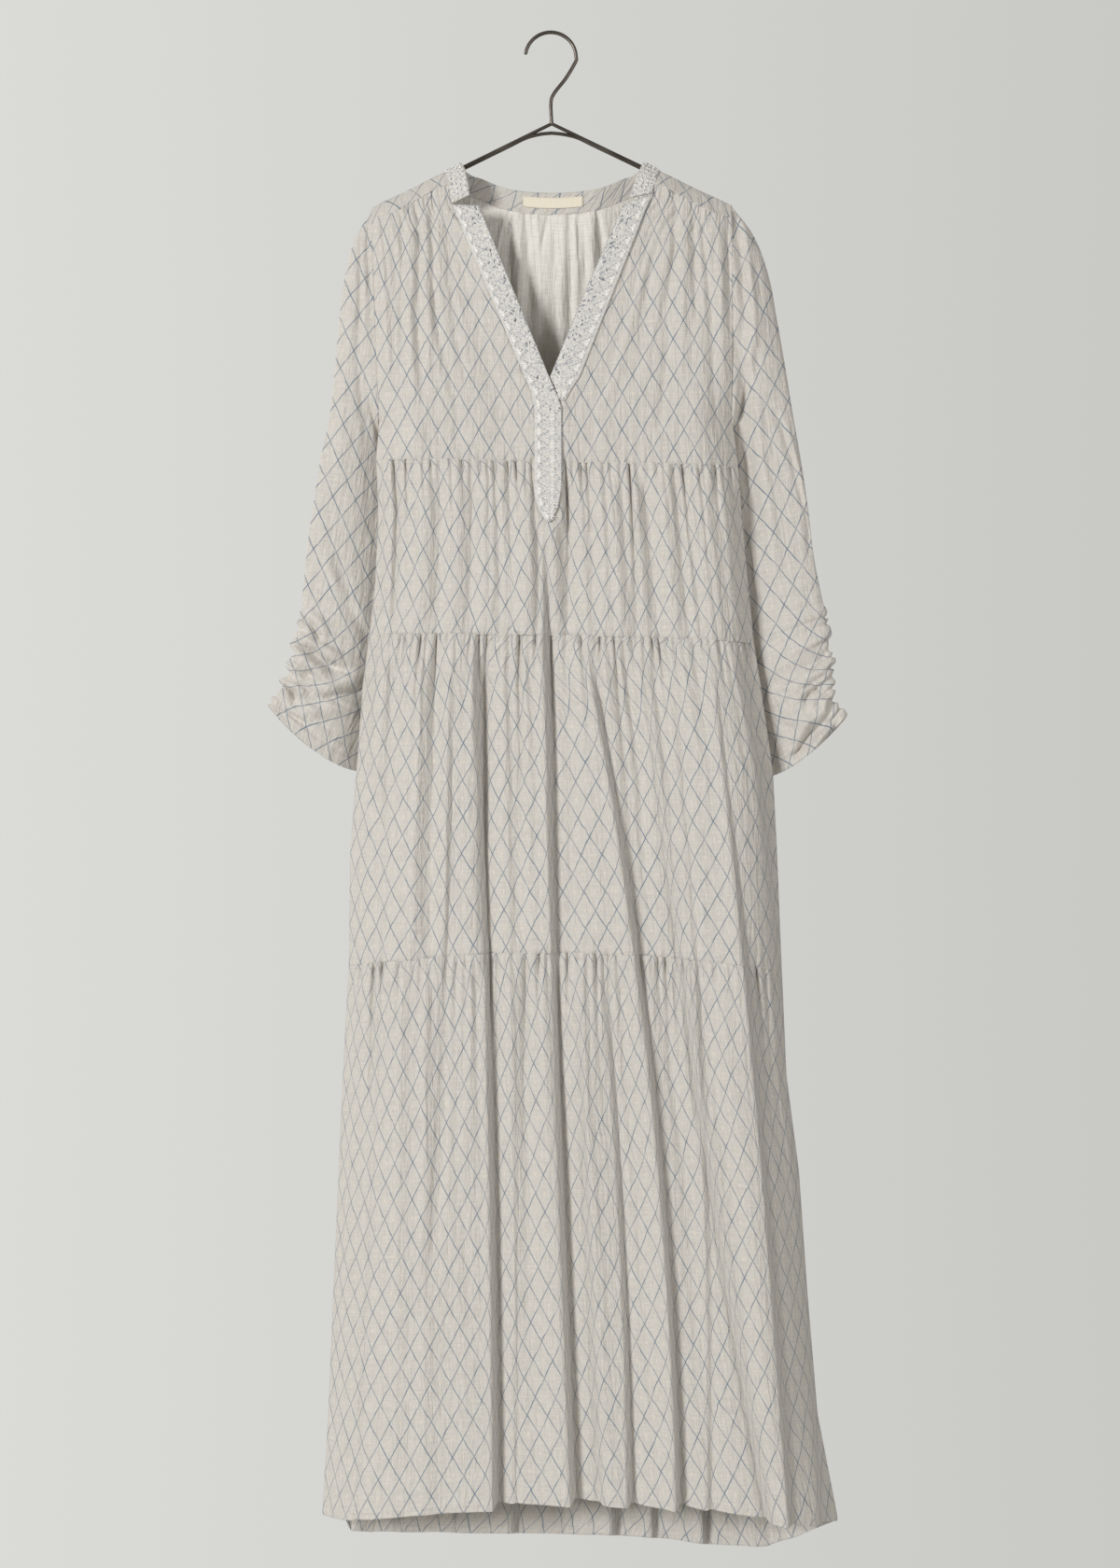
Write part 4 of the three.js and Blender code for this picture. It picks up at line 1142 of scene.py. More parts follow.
@dataclass
class FrontBodice(SidedCloth):
    """Gathered front between the armhole and the placket, below the yoke.

    Attributes:
        side: Side of the garment.
        gathering: Gathers below the yoke seam.
        wrinkles: Its own listed wrinkles.
        settle: Share of its height in which its upper edge falls into line.
        columns: Divisions across.
        rows: Divisions down.
    """

    solid = "front_bodice"

    side: Side
    gathering: Gathering
    wrinkles: tuple[Wrinkle, ...]
    settle: float = 0.16
    columns: int = 120
    rows: int = 96

    def surface(self, across: Grid, down: Grid) -> Grid:
        """Gives the points of the hung front."""
        down = near_seams(down)
        edge = BODICE_EDGES[self.side]
        outward = 1.0 - across if self.side is Side.LEFT else across
        top_x = mix(edge[0].x, SHOULDER[self.side], outward)
        top = yoke_height(top_x) + 0.6
        waist = getattr(FRONT_SEAMS["waist"], self.side.name.lower())
        waist_x = mix(edge[-1].x, FORM.edge(self.side, waist), outward)
        bottom = seam_height(FRONT_SEAMS["waist"], FORM.across(waist_x, waist))
        z = mix(top, bottom, down)
        open_x = mix(read_table(edge, "z", "x", z), FORM.edge(self.side, z), outward)
        x = mix(top_x, open_x, smooth(down, 0.0, self.settle))
        below = top - z
        above = z - bottom
        calm = smooth(np.minimum(outward, 1.0 - outward), 0.0, 0.06)
        gathers = self.gathering.relief(across, np.abs(FORM.edge(self.side, z)), below)
        lift = calm * (calmed(gathers, above) + waist_puckers(x, z, above))
        lift = lift + wrinkle_lift(self.wrinkles, x, z) - both_grooves(below, above)
        return stack(x, -FORM.depth(Face.FRONT, x, z) - lift, z)

    def chart(self, across: Grid, down: Grid, points: Grid) -> Grid:
        """Lays the front flat, with the gathered cloth at its top spread out."""
        below = points[0, :, 2] - points[..., 2]
        full = mix(1.42, 1.1, smooth(below, 0.0, 130.0))
        middle = 0.6 * SHOULDER[self.side]
        return np.stack(((points[..., 0] - middle) * full + middle, points[..., 2]), axis=-1)


@dataclass
class BackPanel(Cloth):
    """Back bodice or its lining, gathered at the middle of the neck.

    Attributes:
        node: Solid that it stands for.
        gathering: Gathers below the neck.
        inset: How far inside the back it hangs.
        trim: How far short of the side seams it ends.
        lined: Whether it is the plain lining.
        finish: Its finish in the wardrobe.
        slot: Its material slot, which is not used.
        wrinkles: Its own hand-placed wrinkles.
        share: Share of its half width that is gathered.
        top_half: Half width that the gathered part is bunched to at the neck.
        bottom_half: Half width of that part at the waist.
        neck_half: Half width of the neck.
        ease: Space left below the neck and yoke seams.
        columns: Divisions across.
        rows: Divisions down.
    """

    node: str
    gathering: Gathering
    inset: float = 0.0
    trim: float = 0.0
    lined: bool = False
    finish: str = "voile"
    slot: str = "printed_cotton"
    # wrinkles: Its own listed wrinkles.
    wrinkles: tuple[Wrinkle, ...] = ()
    share: float = 0.7
    top_half: float = 48.0
    bottom_half: float = 112.0
    neck_half: float = 97.5
    ease: float = 0.4
    columns: int = 130
    rows: int = 64

    def spread(self, side_reach: Grid, out: Grid, sign: Grid, half: Grid) -> Grid:
        """Spreads places across the panel, with the gathered part bunched to a half width."""
        inner = out / self.share * half
        outer = mix(half, side_reach, (out - self.share) / (1.0 - self.share))
        return NECK_MIDDLE + sign * np.where(out < self.share, inner, outer)

    def reach(self, sign: Grid, z: Grid) -> Grid:
        """Gives the distance from the middle of the neck to the panel's side."""
        edge = np.where(sign < 0, FORM.edge(Side.LEFT, z), FORM.edge(Side.RIGHT, z))
        return np.abs(edge - NECK_MIDDLE) - self.trim

    def surface(self, across: Grid, down: Grid) -> Grid:
        """Gives the points of the hung panel."""
        down = near_seams(down)
        from_middle = 2.0 * across - 1.0
        sign = np.sign(from_middle)
        out = np.abs(from_middle)
        top_x = self.spread(self.reach(sign, np.full_like(out, -170.0)), out, sign, self.top_half)
        at_neck = np.abs(top_x - NECK_MIDDLE) <= self.neck_half
        top = np.where(at_neck, neck_seam_height(top_x), yoke_height(top_x)) - self.ease
        seam = BACK_SEAMS["waist"]
        waist = np.where(sign < 0, seam.left, seam.right)
        waist_x = self.spread(self.reach(sign, waist), out, sign, self.bottom_half)
        bottom = seam_height(seam, FORM.across(waist_x, waist))
        z = mix(top, bottom, down)
        x = self.spread(self.reach(sign, z), out, sign, mix(self.top_half, self.bottom_half, down))
        below = top - z
        above = z - bottom
        calm = smooth(self.share + 0.05 - out, 0.0, 0.12)
        width = 2.0 * mix(self.top_half, self.bottom_half, down) / self.share
        gathers = self.gathering.relief(across, width, below)
        lift = calmed(calm * gathers, above) - wrinkle_lift(self.wrinkles, x, z)
        if self.lined:
            lift = np.minimum(lift, 1.2 + 0.25 * (lift - 1.2))
        else:
            lift = lift + waist_puckers(x, z, above) - both_grooves(below, above)
        nested = self.inset * mix(0.5, 1.0, smooth(below, 0.0, 36.0))
        return stack(x, FORM.depth(Face.BACK, x, z) + lift - nested, z)

    def chart(self, across: Grid, down: Grid, points: Grid) -> Grid:
        """Lays the panel flat, with the gathered cloth at its neck spread out."""
        below = points[0, :, 2] - points[..., 2]
        full = mix(1.5, 1.08, smooth(below, 0.0, 160.0))
        return np.stack(((points[..., 0] - NECK_MIDDLE) * full, points[..., 2]), axis=-1)


@dataclass(frozen=True)
class HangerLine:
    """Line of the hanger's arms, which the shoulders lie on.

    Attributes:
        apex_x: Place across of the top of the arms.
        apex_z: Height of the top.
        left_slope: Fall of the left arm for each millimetre outwards.
        right_slope: Fall of the right arm.
    """

    apex_x: float = 0.9
    apex_z: float = -86.4
    left_slope: float = 0.492
    right_slope: float = 0.479

    def height(self, side: Side, x: Grid) -> Grid:
        """Gives the height of an arm's middle at a place across."""
        slope = self.left_slope if side is Side.LEFT else self.right_slope
        return self.apex_z - slope * np.abs(x - self.apex_x)


HANGER = HangerLine()


@dataclass
class Yoke(SidedCloth):
    """Narrow shoulder yoke, a saddle over the hanger's arm.

    Attributes:
        side: Side of the garment.
        lift: How far the shoulder line stands above the middle of the arm.
        ridge_round: How softly the saddle bends over the shoulder line.
        neck: Distance of its neck end from the middle of the neck.
        lean: How far the neck end leans outwards down the saddle.
        wall: Its thickness.
        columns: Divisions along the shoulder.
        rows: Divisions over it.
    """

    solid = "yoke"
    held = "hung"

    side: Side
    lift: float = 3.7
    ridge_round: float = 0.28
    neck: float = 100.5
    lean: float = 3.5
    wall: float = 0.9
    columns: int = 46
    rows: int = 44

    def surface(self, across: Grid, down: Grid) -> Grid:
        """Gives the points of the saddle, from its front seam over the shoulder to its back seam."""
        sign = self.side.value
        over = 2.0 * down - 1.0
        along = 1.0 - across if self.side is Side.LEFT else across
        steep = math.hypot(1.0, self.ridge_round) - self.ridge_round
        fall = (np.hypot(over, self.ridge_round) - self.ridge_round) / steep
        x = mix(NECK_MIDDLE + sign * self.neck, SHOULDER[self.side], along)
        x = x - sign * self.lean * fall * (1.0 - along)
        seam = yoke_height(x) - 0.4
        ridge = HANGER.height(self.side, x) + self.lift
        face_depth = np.where(over > 0, FORM.depth(Face.FRONT, x, seam), FORM.depth(Face.BACK, x, seam))
        bend = 0.25 * np.sin(along * 9.0 + over * 2.0) * (1.0 - fall)
        return stack(x, -face_depth * over, mix(ridge, seam, fall) + bend)

    def chart(self, across: Grid, down: Grid, points: Grid) -> Grid:
        """Lays the yoke flat."""
        return np.stack((points[..., 0], -lengths(points, 0)), axis=-1)


BAND_SECTIONS = table(BandSection, (
    (-94.6, -17.4, -167.6, -77, -17.8, -159),
    (-96.6, -14.6, -156, -79.5, -15.6, -143),
    (-98.6, -9.4, -143, -83, -9.6, -130.5),
    (-102, 0, -133.2, -86.5, 0, -124.8),
    (-98.6, 9.4, -142, -83, 9, -129.5),
    (-88.3, 14, -150, -75, 13, -134),
    (-69.3, 15, -157.2, -67, 14, -136.2),
    (-40.3, 15.7, -167, -40, 15, -146),
    (1.7, 16, -171, 1.7, 15.4, -149.5),
    (43.7, 15.7, -167, 43.4, 15, -146),
    (72.7, 15, -157.2, 70.4, 14, -136.2),
    (91.7, 14, -150, 78.4, 13, -134),
    (102, 9.4, -142, 86.4, 9, -129.5),
    (105.4, 0, -132, 90, 0, -124),
    (102, -9.4, -142, 86.4, -9.6, -130.5),
    (99.6, -13.4, -150, 80, -14.6, -146),
    (98, -16, -157, 75, -17.4, -162),
))


def band_surface(across: Grid, down: Grid) -> Grid:
    """Gives the points of the neckband, from its upper edge to the neck seam."""
    top = [read_curve(BAND_SECTIONS, f"top_{axis}", across) for axis in "xyz"]
    seam = [read_curve(BAND_SECTIONS, f"seam_{axis}", across) for axis in "xyz"]
    return stack(*(mix(high, low, down) for high, low in zip(top, seam)))


def neck_seam_height(x: Grid) -> Grid:
    """Gives the height of the neck seam on the back at a place across."""
    along = np.linspace(4 / 16, 12 / 16, 240)
    seam_x = read_curve(BAND_SECTIONS, "seam_x", along)
    return np.interp(x, seam_x, read_curve(BAND_SECTIONS, "seam_z", along))


def band_place(x: float) -> float:
    """Finds the place along the neckband whose seam lies at a given place on the back."""
    along = np.linspace(4 / 16, 12 / 16, 240)
    return float(np.interp(x, read_curve(BAND_SECTIONS, "seam_x", along), along))


PLACKET_OVER = table(PlacketSection, (
    (-94.4, -168.2, -68.4, -169.5), (-60.2, -250, -35.8, -250), (-24.8, -334, -1.4, -334),
    (-17.5, -351, 5.6, -350), (-15.3, -366, 10.8, -364), (-15.3, -408, 10.8, -408),
    (-15.3, -447, 10.8, -441), (-11.5, -461, 7, -460), (-3.6, -473.5, -0.6, -473.5),
))
PLACKET_UNDER = table(PlacketSection, (
    (97, -158, 69.5, -169.4), (61.1, -250, 33.8, -250), (28.2, -334, -0.4, -334),
    (20, -346, 4.6, -345.5), (13.6, -357.4, 9.2, -356.6),
))


@dataclass
class StitchSheet:
    """Collects raised stitches of one thread and joins them into one piece.

    Attributes:
        name: Name of the piece.
        stitches: Middle, direction, outward normal, length, width and height of each stitch.
    """

    name: str
    stitches: list[tuple] = field(default_factory=list)

    def add(self, middle: Grid, along: Grid, normal: Grid, size: tuple[float, float, float]) -> None:
        """Adds one stitch, its size given as length, width and height in millimetres."""
        self.stitches.append((middle, along, normal, size))

    def build(self, material: bpy.types.Material) -> bpy.types.Object:
        """Builds the joined stitches."""
        bm = bmesh.new()
        for middle, along, normal, (length, width, height) in self.stitches:
            run = Vector(along).normalized()
            out = Vector(normal).normalized()
            side = out.cross(run).normalized()
            out = run.cross(side)
            axes = Matrix((run * length, side * width, out * height)).transposed().to_4x4()
            place = Matrix.Translation(Vector(middle) * MM) @ Matrix.Scale(MM / 2, 4) @ axes
            bmesh.ops.create_icosphere(bm, subdivisions=1, radius=1.0, matrix=place)
        bmesh.ops.recalc_face_normals(bm, faces=bm.faces)
        for face in bm.faces:
            face.smooth = True
        return finish_piece(self.name, bm, material)


@dataclass
class Placket(Cloth):
    """Embroidered band down one side of the V, its points taken from the front's and moved out.

    Attributes:
        node: Solid that it stands for.
        sections: Its cross-sections.
        seed: Seed of its hand-like unevenness.
        ease: Space left under the band.
        columns: Divisions across.
        rows: Divisions down.
        repeat: Length of one repeat of its stitches.
        tab_start: Place down the band at which the V ends.
        fleck_count: Flecks in one repeat on the V.
    """

    ending = "band"
    finish = "band"
    slot = "embroidered_cotton"
    held = "hung"
    wall = BAND

    node: str
    sections: tuple[PlacketSection, ...]
    seed: int
    ease: float = 0.25
    columns: int = 18
    rows: int = 150
    repeat: float = 13.2
    tab_start: float = 0.5
    fleck_count: int = 21

    def surface(self, across: Grid, down: Grid) -> Grid:
        """Gives the points of the band; across runs from -X to +X."""
        place = np.clip(down, 0.0, 1.0) * (len(self.sections) - 1)
        spots = np.arange(len(self.sections))
        read = {name: np.interp(place, spots, [getattr(row, name) for row in self.sections])
                for name in PlacketSection._fields}
        leftward = self.sections[0].outer_x < 0
        inward = across if leftward else 1.0 - across
        x = mix(read["outer_x"], read["inner_x"], inward)
        z = mix(read["outer_z"], read["inner_z"], inward)
        over_skirt = 0.5 * smooth(-416.0 - z, -25.0, 5.0)
        edge_roll = 0.35 * np.sin(np.clip(across, 0, 1) * math.pi) ** 0.5
        return stack(x, -FORM.depth(Face.FRONT, x, z) - LAYER_STEP - over_skirt - self.ease - edge_roll, z)

    def frame_at(self, inward: float, run: float) -> tuple[Grid, Grid, Grid, Grid]:
        """Gives a point of the band, the ways inwards and down, and the normal.

        Args:
            inward: Place across, 0 at the outer edge and 1 at the inner one.
            run: Place down, 0 to 1.

        Returns:
            The point, the inward way, the way down and the outward normal.
        """
        leftward = self.sections[0].outer_x < 0
        across = inward if leftward else 1.0 - inward
        step = 0.004
        at = [np.array([value]) for value in (across, run)]
        point = self.surface(*at)[0]
        aside = self.surface(at[0] + step, at[1])[0] - self.surface(at[0] - step, at[1])[0]
        under = self.surface(at[0], at[1] + step)[0] - self.surface(at[0], at[1] - step)[0]
        normal = unit(np.cross(under, aside))
        inwards = unit(aside) * (1 if leftward else -1)
        return point + normal * BAND / 2, inwards, unit(under), normal

    def stitch(self, sheets: dict[str, StitchSheet]) -> None:
        """Sews wedges and facets along the outer edge, then flecks on the V or rays on the tab."""
        chance = random.Random(self.seed)
        places = np.linspace(0, 1, 300)
        run = lengths(self.surface(np.full(300, 0.5), places), 0)
        count = round(run[-1] / self.repeat)
        ends = np.interp(np.linspace(0.0, run[-1], count + 1), run, places)
        for start, end in zip(ends, ends[1:]):
            middle = (start + end) / 2
            self.fan(sheets["white"], 0.08, middle, (-0.8, -0.3, 0.3, 0.8), (6.4, 2.3, 1.7), chance)
            self.outline(sheets["slate"], ((0.1, start), (0.52, middle), (0.1, end)), (2.7, 0.62, 0.8))
            self.outline(sheets["silver"], ((0.2, start), (0.52, start), (0.8, middle), (0.52, end)),
                         (2.6, 0.7, 0.9))
            if middle < self.tab_start:
                self.flecks(sheets, start, end, chance)
            else:
                self.outline(sheets["white"], ((0.5, start), (0.5, end)), (2.9, 1.5, 1.4))
                self.fan(sheets["white"], 0.56, middle, (-0.85, -0.4, 0.4, 0.85), (7.8, 1.5, 1.3), chance)
                self.outline(sheets["slate"], ((0.94, start), (0.6, middle), (0.94, end)), (2.7, 0.62, 0.8))
        self.outline(sheets["slate"], tuple((0.985, place) for place in ends), (2.6, 0.5, 0.5))

    def fan(self, sheet: StitchSheet, inward: float, run: float, turns: Sequence[float],
            size: tuple[float, float, float], chance: random.Random) -> None:
        """Sews a fan of satin stitches that opens inwards from a point of the band.

        Args:
            sheet: Thread that it is sewn with.
            inward: Place of the point across the band.
            run: Place of the point down the band.
            turns: Turn of each stitch from straight inwards, in radians.
            size: Length, width and height of a stitch in millimetres.
            chance: Source of unevenness.
        """
        root, inwards, under, normal = self.frame_at(inward, run)
        for turn in turns:
            length = size[0] * chance.uniform(0.85, 1.1)
            along = inwards * math.cos(turn) + under * math.sin(turn)
            sheet.add(root + along * (length / 2 + 0.5), along, normal, (length, *size[1:]))

    def outline(self, sheet: StitchSheet, route: Sequence[tuple[float, float]],
                size: tuple[float, float, float]) -> None:
        """Sews a line of short stitches through places of the band, given as inward and down."""
        for (inward, run), (next_inward, next_run) in zip(route, route[1:]):
            first = self.frame_at(inward, run)[0]
            last, _, _, normal = self.frame_at(next_inward, next_run)
            count = max(1, int(np.linalg.norm(last - first) / (size[0] * 1.12)))
            for share in (np.arange(count) + 0.5) / count:
                sheet.add(mix(first, last, share), last - first, normal, size)

    def flecks(self, sheets: dict[str, StitchSheet], start: float, end: float,
               chance: random.Random) -> None:
        """Sews the close short stitches along the inner part of one repeat."""
        for _ in range(self.fleck_count):
            inward = 0.94 - 0.46 * chance.random() ** 1.3
            point, inwards, under, normal = self.frame_at(inward, chance.uniform(start, end))
            along = under + inwards * chance.choice((-1.1, -0.4, 0.5, 1.2))
            thread = chance.choice(("white", "white", "white", "white", "silver", "silver", "slate"))
            size = (chance.uniform(3.0, 5.4), 1.25, chance.uniform(0.8, 1.5))
            sheets[thread].add(point, along, normal, size)


@dataclass
class Neckband(Cloth):
    """Low stand band round the neck, patterned all round and embroidered where it meets the V.

    Attributes:
        strips: Places along the band between which each embroidered strip lies.
        strip_lift: Distance from the band's middle to a strip's.
        columns: Divisions along the band.
        rows: Divisions down it.
        bars: Stitches along a strip, in each row.
        bar_rows: Rows of stitches on a strip.
    """

    node = "neckband"
    held = "hung"
    wall = BAND

    strips: tuple[tuple[float, float], ...] = ((0.002, 0.185), (0.815, 0.998))
    strip_lift: float = 0.85
    columns: int = 300
    rows: int = 14
    bars: int = 34
    bar_rows: int = 4

    def surface(self, across: Grid, down: Grid) -> Grid:
        """Gives the points of the band."""
        return band_surface(across, down)

    def strip_surface(self, first: float, last: float) -> Surface:
        """Gives the surface of one embroidered strip, just outside the band."""
        def surface(across: Grid, down: Grid) -> Grid:
            place = mix(first, last, across)
            inside = mix(0.03, 0.97, down)
            out = -normals(band_surface, place, inside)
            return band_surface(place, inside) + out * self.strip_lift
        return surface

    def stitch(self, sheets: dict[str, StitchSheet]) -> None:
        """Sews short satin bars and outlines on the strips."""
        chance = random.Random(41)
        for first, last in self.strips:
            surface = self.strip_surface(first, last)
            for number in range(self.bars):
                for row in range(self.bar_rows):
                    across = np.array([(number + chance.uniform(0.1, 0.9)) / self.bars])
                    down = np.array([(row + chance.uniform(0.2, 0.8)) / self.bar_rows])
                    normal = -normals(surface, across, down)[0]
                    over = unit(surface(across + 0.01, down)[0] - surface(across - 0.01, down)[0])
                    under = unit(np.cross(over, normal))
                    along = unit(over * chance.choice((-1, 1)) + under * chance.uniform(0.5, 1.2))
                    thread = ("white", "white", "silver", "slate")[(number + row) % 4]
                    size = (4.6, 1.1, 0.9) if thread == "white" else (2.6, 0.6, 0.6)
                    sheets[thread].add(surface(across, down)[0] + normal * 0.4, along, normal, size)

    def overlays(self, wardrobe: Wardrobe, under: str) -> list[bpy.types.Object]:
        """Builds the embroidered strips."""
        strips = []
        for (first, last), side in zip(self.strips, Side):
            name = f"neckband_strip_{side.name.lower()}"
            strip = Shell(name, self.strip_surface(first, last), self.chart, 60, 12, wall=0.4)
            strips.append(strip.build(wardrobe.band))
        return strips


@dataclass
class Label(Cloth):
    """Bare ribbon label, sewn at both ends inside the back of the neckband.

    Attributes:
        left: Place of its left end across the back.
        right: Place of its right end.
        top: Place of its upper edge down the neckband.
        bottom: Place of its lower edge.
        wall: Its thickness.
        columns: Divisions across.
        rows: Divisions down.
    """

    node = "label"
    ending = "ribbon"
    finish = "ribbon"
    slot = "ribbon"
    held = "hung"

    left: float = -27.0
    right: float = 31.5
    top: float = 0.23
    bottom: float = 0.71
    wall: float = 0.5
    columns: int = 40
    rows: int = 8

    def surface(self, across: Grid, down: Grid) -> Grid:
        """Gives the points of the ribbon."""
        place = mix(band_place(self.left), band_place(self.right), across)
        point = band_surface(place, mix(self.top, self.bottom, down))
        point[..., 1] -= BAND / 2 + 0.55 + 0.25 * np.sin(across * math.pi)
        return point

    def stitch(self, sheets: dict[str, StitchSheet]) -> None:
        """Sews the ends of the ribbon down."""
        outward = np.array([0.0, -1.0, 0.0])
        for across in (0.02, 0.98):
            for number in range(4):
                at = (np.array([across]), np.array([(number + 0.5) / 4]))
                point = self.surface(*at)[0] + 0.35 * outward
                sheets["cotton"].add(point, np.array([0.0, 0.0, 1.0]), outward, (2.1, 0.5, 0.4))


SLEEVE_RINGS = {
    Side.LEFT: table(SleeveRing, (
        (-172, -169, -165, 0, -373, 15, 0),
        (-189, -200, -166.4, 1, -375, 16, 0),
        (-199, -238, -165.5, 5, -379, 16, 0),
        (-204, -280, -162.5, 13, -386, 16, 0),
        (-208, -325, -156, 24, -398, 15, 0),
        (-213, -370, -146, 33, -418, 14, 0),
        (-222, -412, -137, 38, -442, 13, 0),
        (-229, -458, -131, 41, -478, 13, 0),
        (-235, -500, -130, 42, -520, 14, 1),
        (-239, -541, -133, 43, -564, 15, 4),
        (-246, -580, -138, 44, -612, 16, 10),
        (-254, -613, -145, 45, -662, 16, 17),
        (-272, -647, -152, 44, -708, 14, 24),
    )),
    Side.RIGHT: table(SleeveRing, (
        (174.5, -166.5, 174.5, 0, -369, 15, 0),
        (196, -196, 176.2, 1, -371, 16, 0),
        (210, -234, 176.6, 7, -375, 16, 0),
        (218, -276, 174, 17, -382, 16, 0),
        (226, -322, 166, 24, -394, 15, 0),
        (233, -366, 157, 33, -416, 14, 0),
        (241, -412, 151, 38, -442, 13, 0),
        (248, -460, 149, 41, -480, 13, 0),
        (253, -502, 152, 42, -522, 14, 1),
        (261, -543, 156, 43, -566, 15, 4),
        (270, -582, 163, 45, -614, 16, 10),
        (274, -618, 172, 46, -668, 16, 16),
        (284, -657, 182, 46, -716, 14, 20),
    )),
}


RUCHES = {
    Side.LEFT: table(EdgePoint, (
        (-570, 0), (-581, -1.5), (-588, 2.2), (-594, -2), (-605, 2.4), (-617, -2.2), (-624, 1.4),
        (-632, -3), (-646, 1), (-700, 0),
    )),
    Side.RIGHT: table(EdgePoint, (
        (-560, 0), (-584, -1), (-596, -2.5), (-605, 1.4), (-613, -2.4), (-622, -1), (-632, -5),
        (-643, -7.5), (-652, -1), (-660, 1), (-700, 0),
    )),
}


SLEEVE_WRINKLES = {
    Side.LEFT: table(Wrinkle, (
        (-176, -172, -173.5, -246, -1.5, -5.5, 3.2),
        (-183, -182, -184, -300, 1.5, -3.6, 3),
        (-179.5, -176, -179, -290, 0, 2.4, 3),
        (-190, -200, -203, -420, -2, 3, 7),
        (-215, -506, -188, -556, -3, 6, 6),
        (-205, -517, -178, -580, -3, -6, 6),
        (-242, -590, -206, -617, 2, -10.5, 3.6),
        (-238, -582, -204, -605, 2, 6.3, 5),
        (-244, -600, -214, -626, 2, 7.4, 5.5),
        (-236.5, -565, -224, -588, 3, -7.9, 2.8),
        (-230, -560, -218, -580, 3, 5.2, 4),
        (-244, -615, -232, -620, 0, -7.9, 2.6),
        (-257, -629, -246, -645, 1.5, -8.8, 2.8),
        (-250, -626, -238, -640, 1.5, 6, 3.6),
        (-223, -642, -182, -634, 2, -7.9, 3.2),
        (-212, -628, -182, -618, 0, 7, 7),
        (-236, -653, -186, -652, 3, 7, 7),
        (-262, -651, -236, -664, 0, -5.2, 3),
        (-212, -606, -196, -616, 0, -6.3, 3),
        (-246, -638, -214, -652, 0, -4.2, 3),
    )),
    Side.RIGHT: table(Wrinkle, (
        (178, -176, 187, -285, 1, -5.5, 4),
        (185, -184, 196, -300, 1, 3.6, 4),
        (191, -300, 202, -420, 1, 4.6, 5),
        (202, -400, 216, -520, 1, 4.6, 6),
        (182, -290, 196, -470, -2, -5, 6),
        (218, -368, 242, -450, 2, -4.6, 2.8),
        (242, -445, 249, -500, 2, -3.4, 2.8),
        (224, -372, 248, -470, 2, 2.8, 3.4),
        (212, -624, 264, -631, -3, -3.9, 4),
        (222, -663, 248, -673, -2, -3.9, 4),
        (244, -620, 263, -633, 1, -4.7, 2.6),
        (250, -650, 262, -631, 5, -7.2, 3.4),
        (262, -655, 276, -640, 3, 5.2, 4),
        (264, -664, 236, -698, -4, -9.1, 3.6),
        (270, -668, 250, -700, -4, 5.9, 3.6),
        (274, -664, 266, -684, 0, -6.5, 2.6),
        (256, -654, 238, -684, -4, 5.5, 4.6),
        (268, -597, 258, -606, 0, -3.9, 2.6),
        (270, -614, 256, -618, 0, 3.4, 3),
        (262, -610, 246, -612, 1, -3.1, 2.6),
    )),
}


class SleeveCrease(NamedTuple):
    """Crease round a sleeve: where it lies down and around, its height, and how it drifts."""

    down: float
    angle: float
    height: float
    width: float
    arc: float
    drift: float


def turn_from(angle: Grid, centre: float) -> Grid:
    """Gives the turn from a centre to an angle, at most half a turn either way."""
    return np.arctan2(np.sin(angle - centre), np.cos(angle - centre))


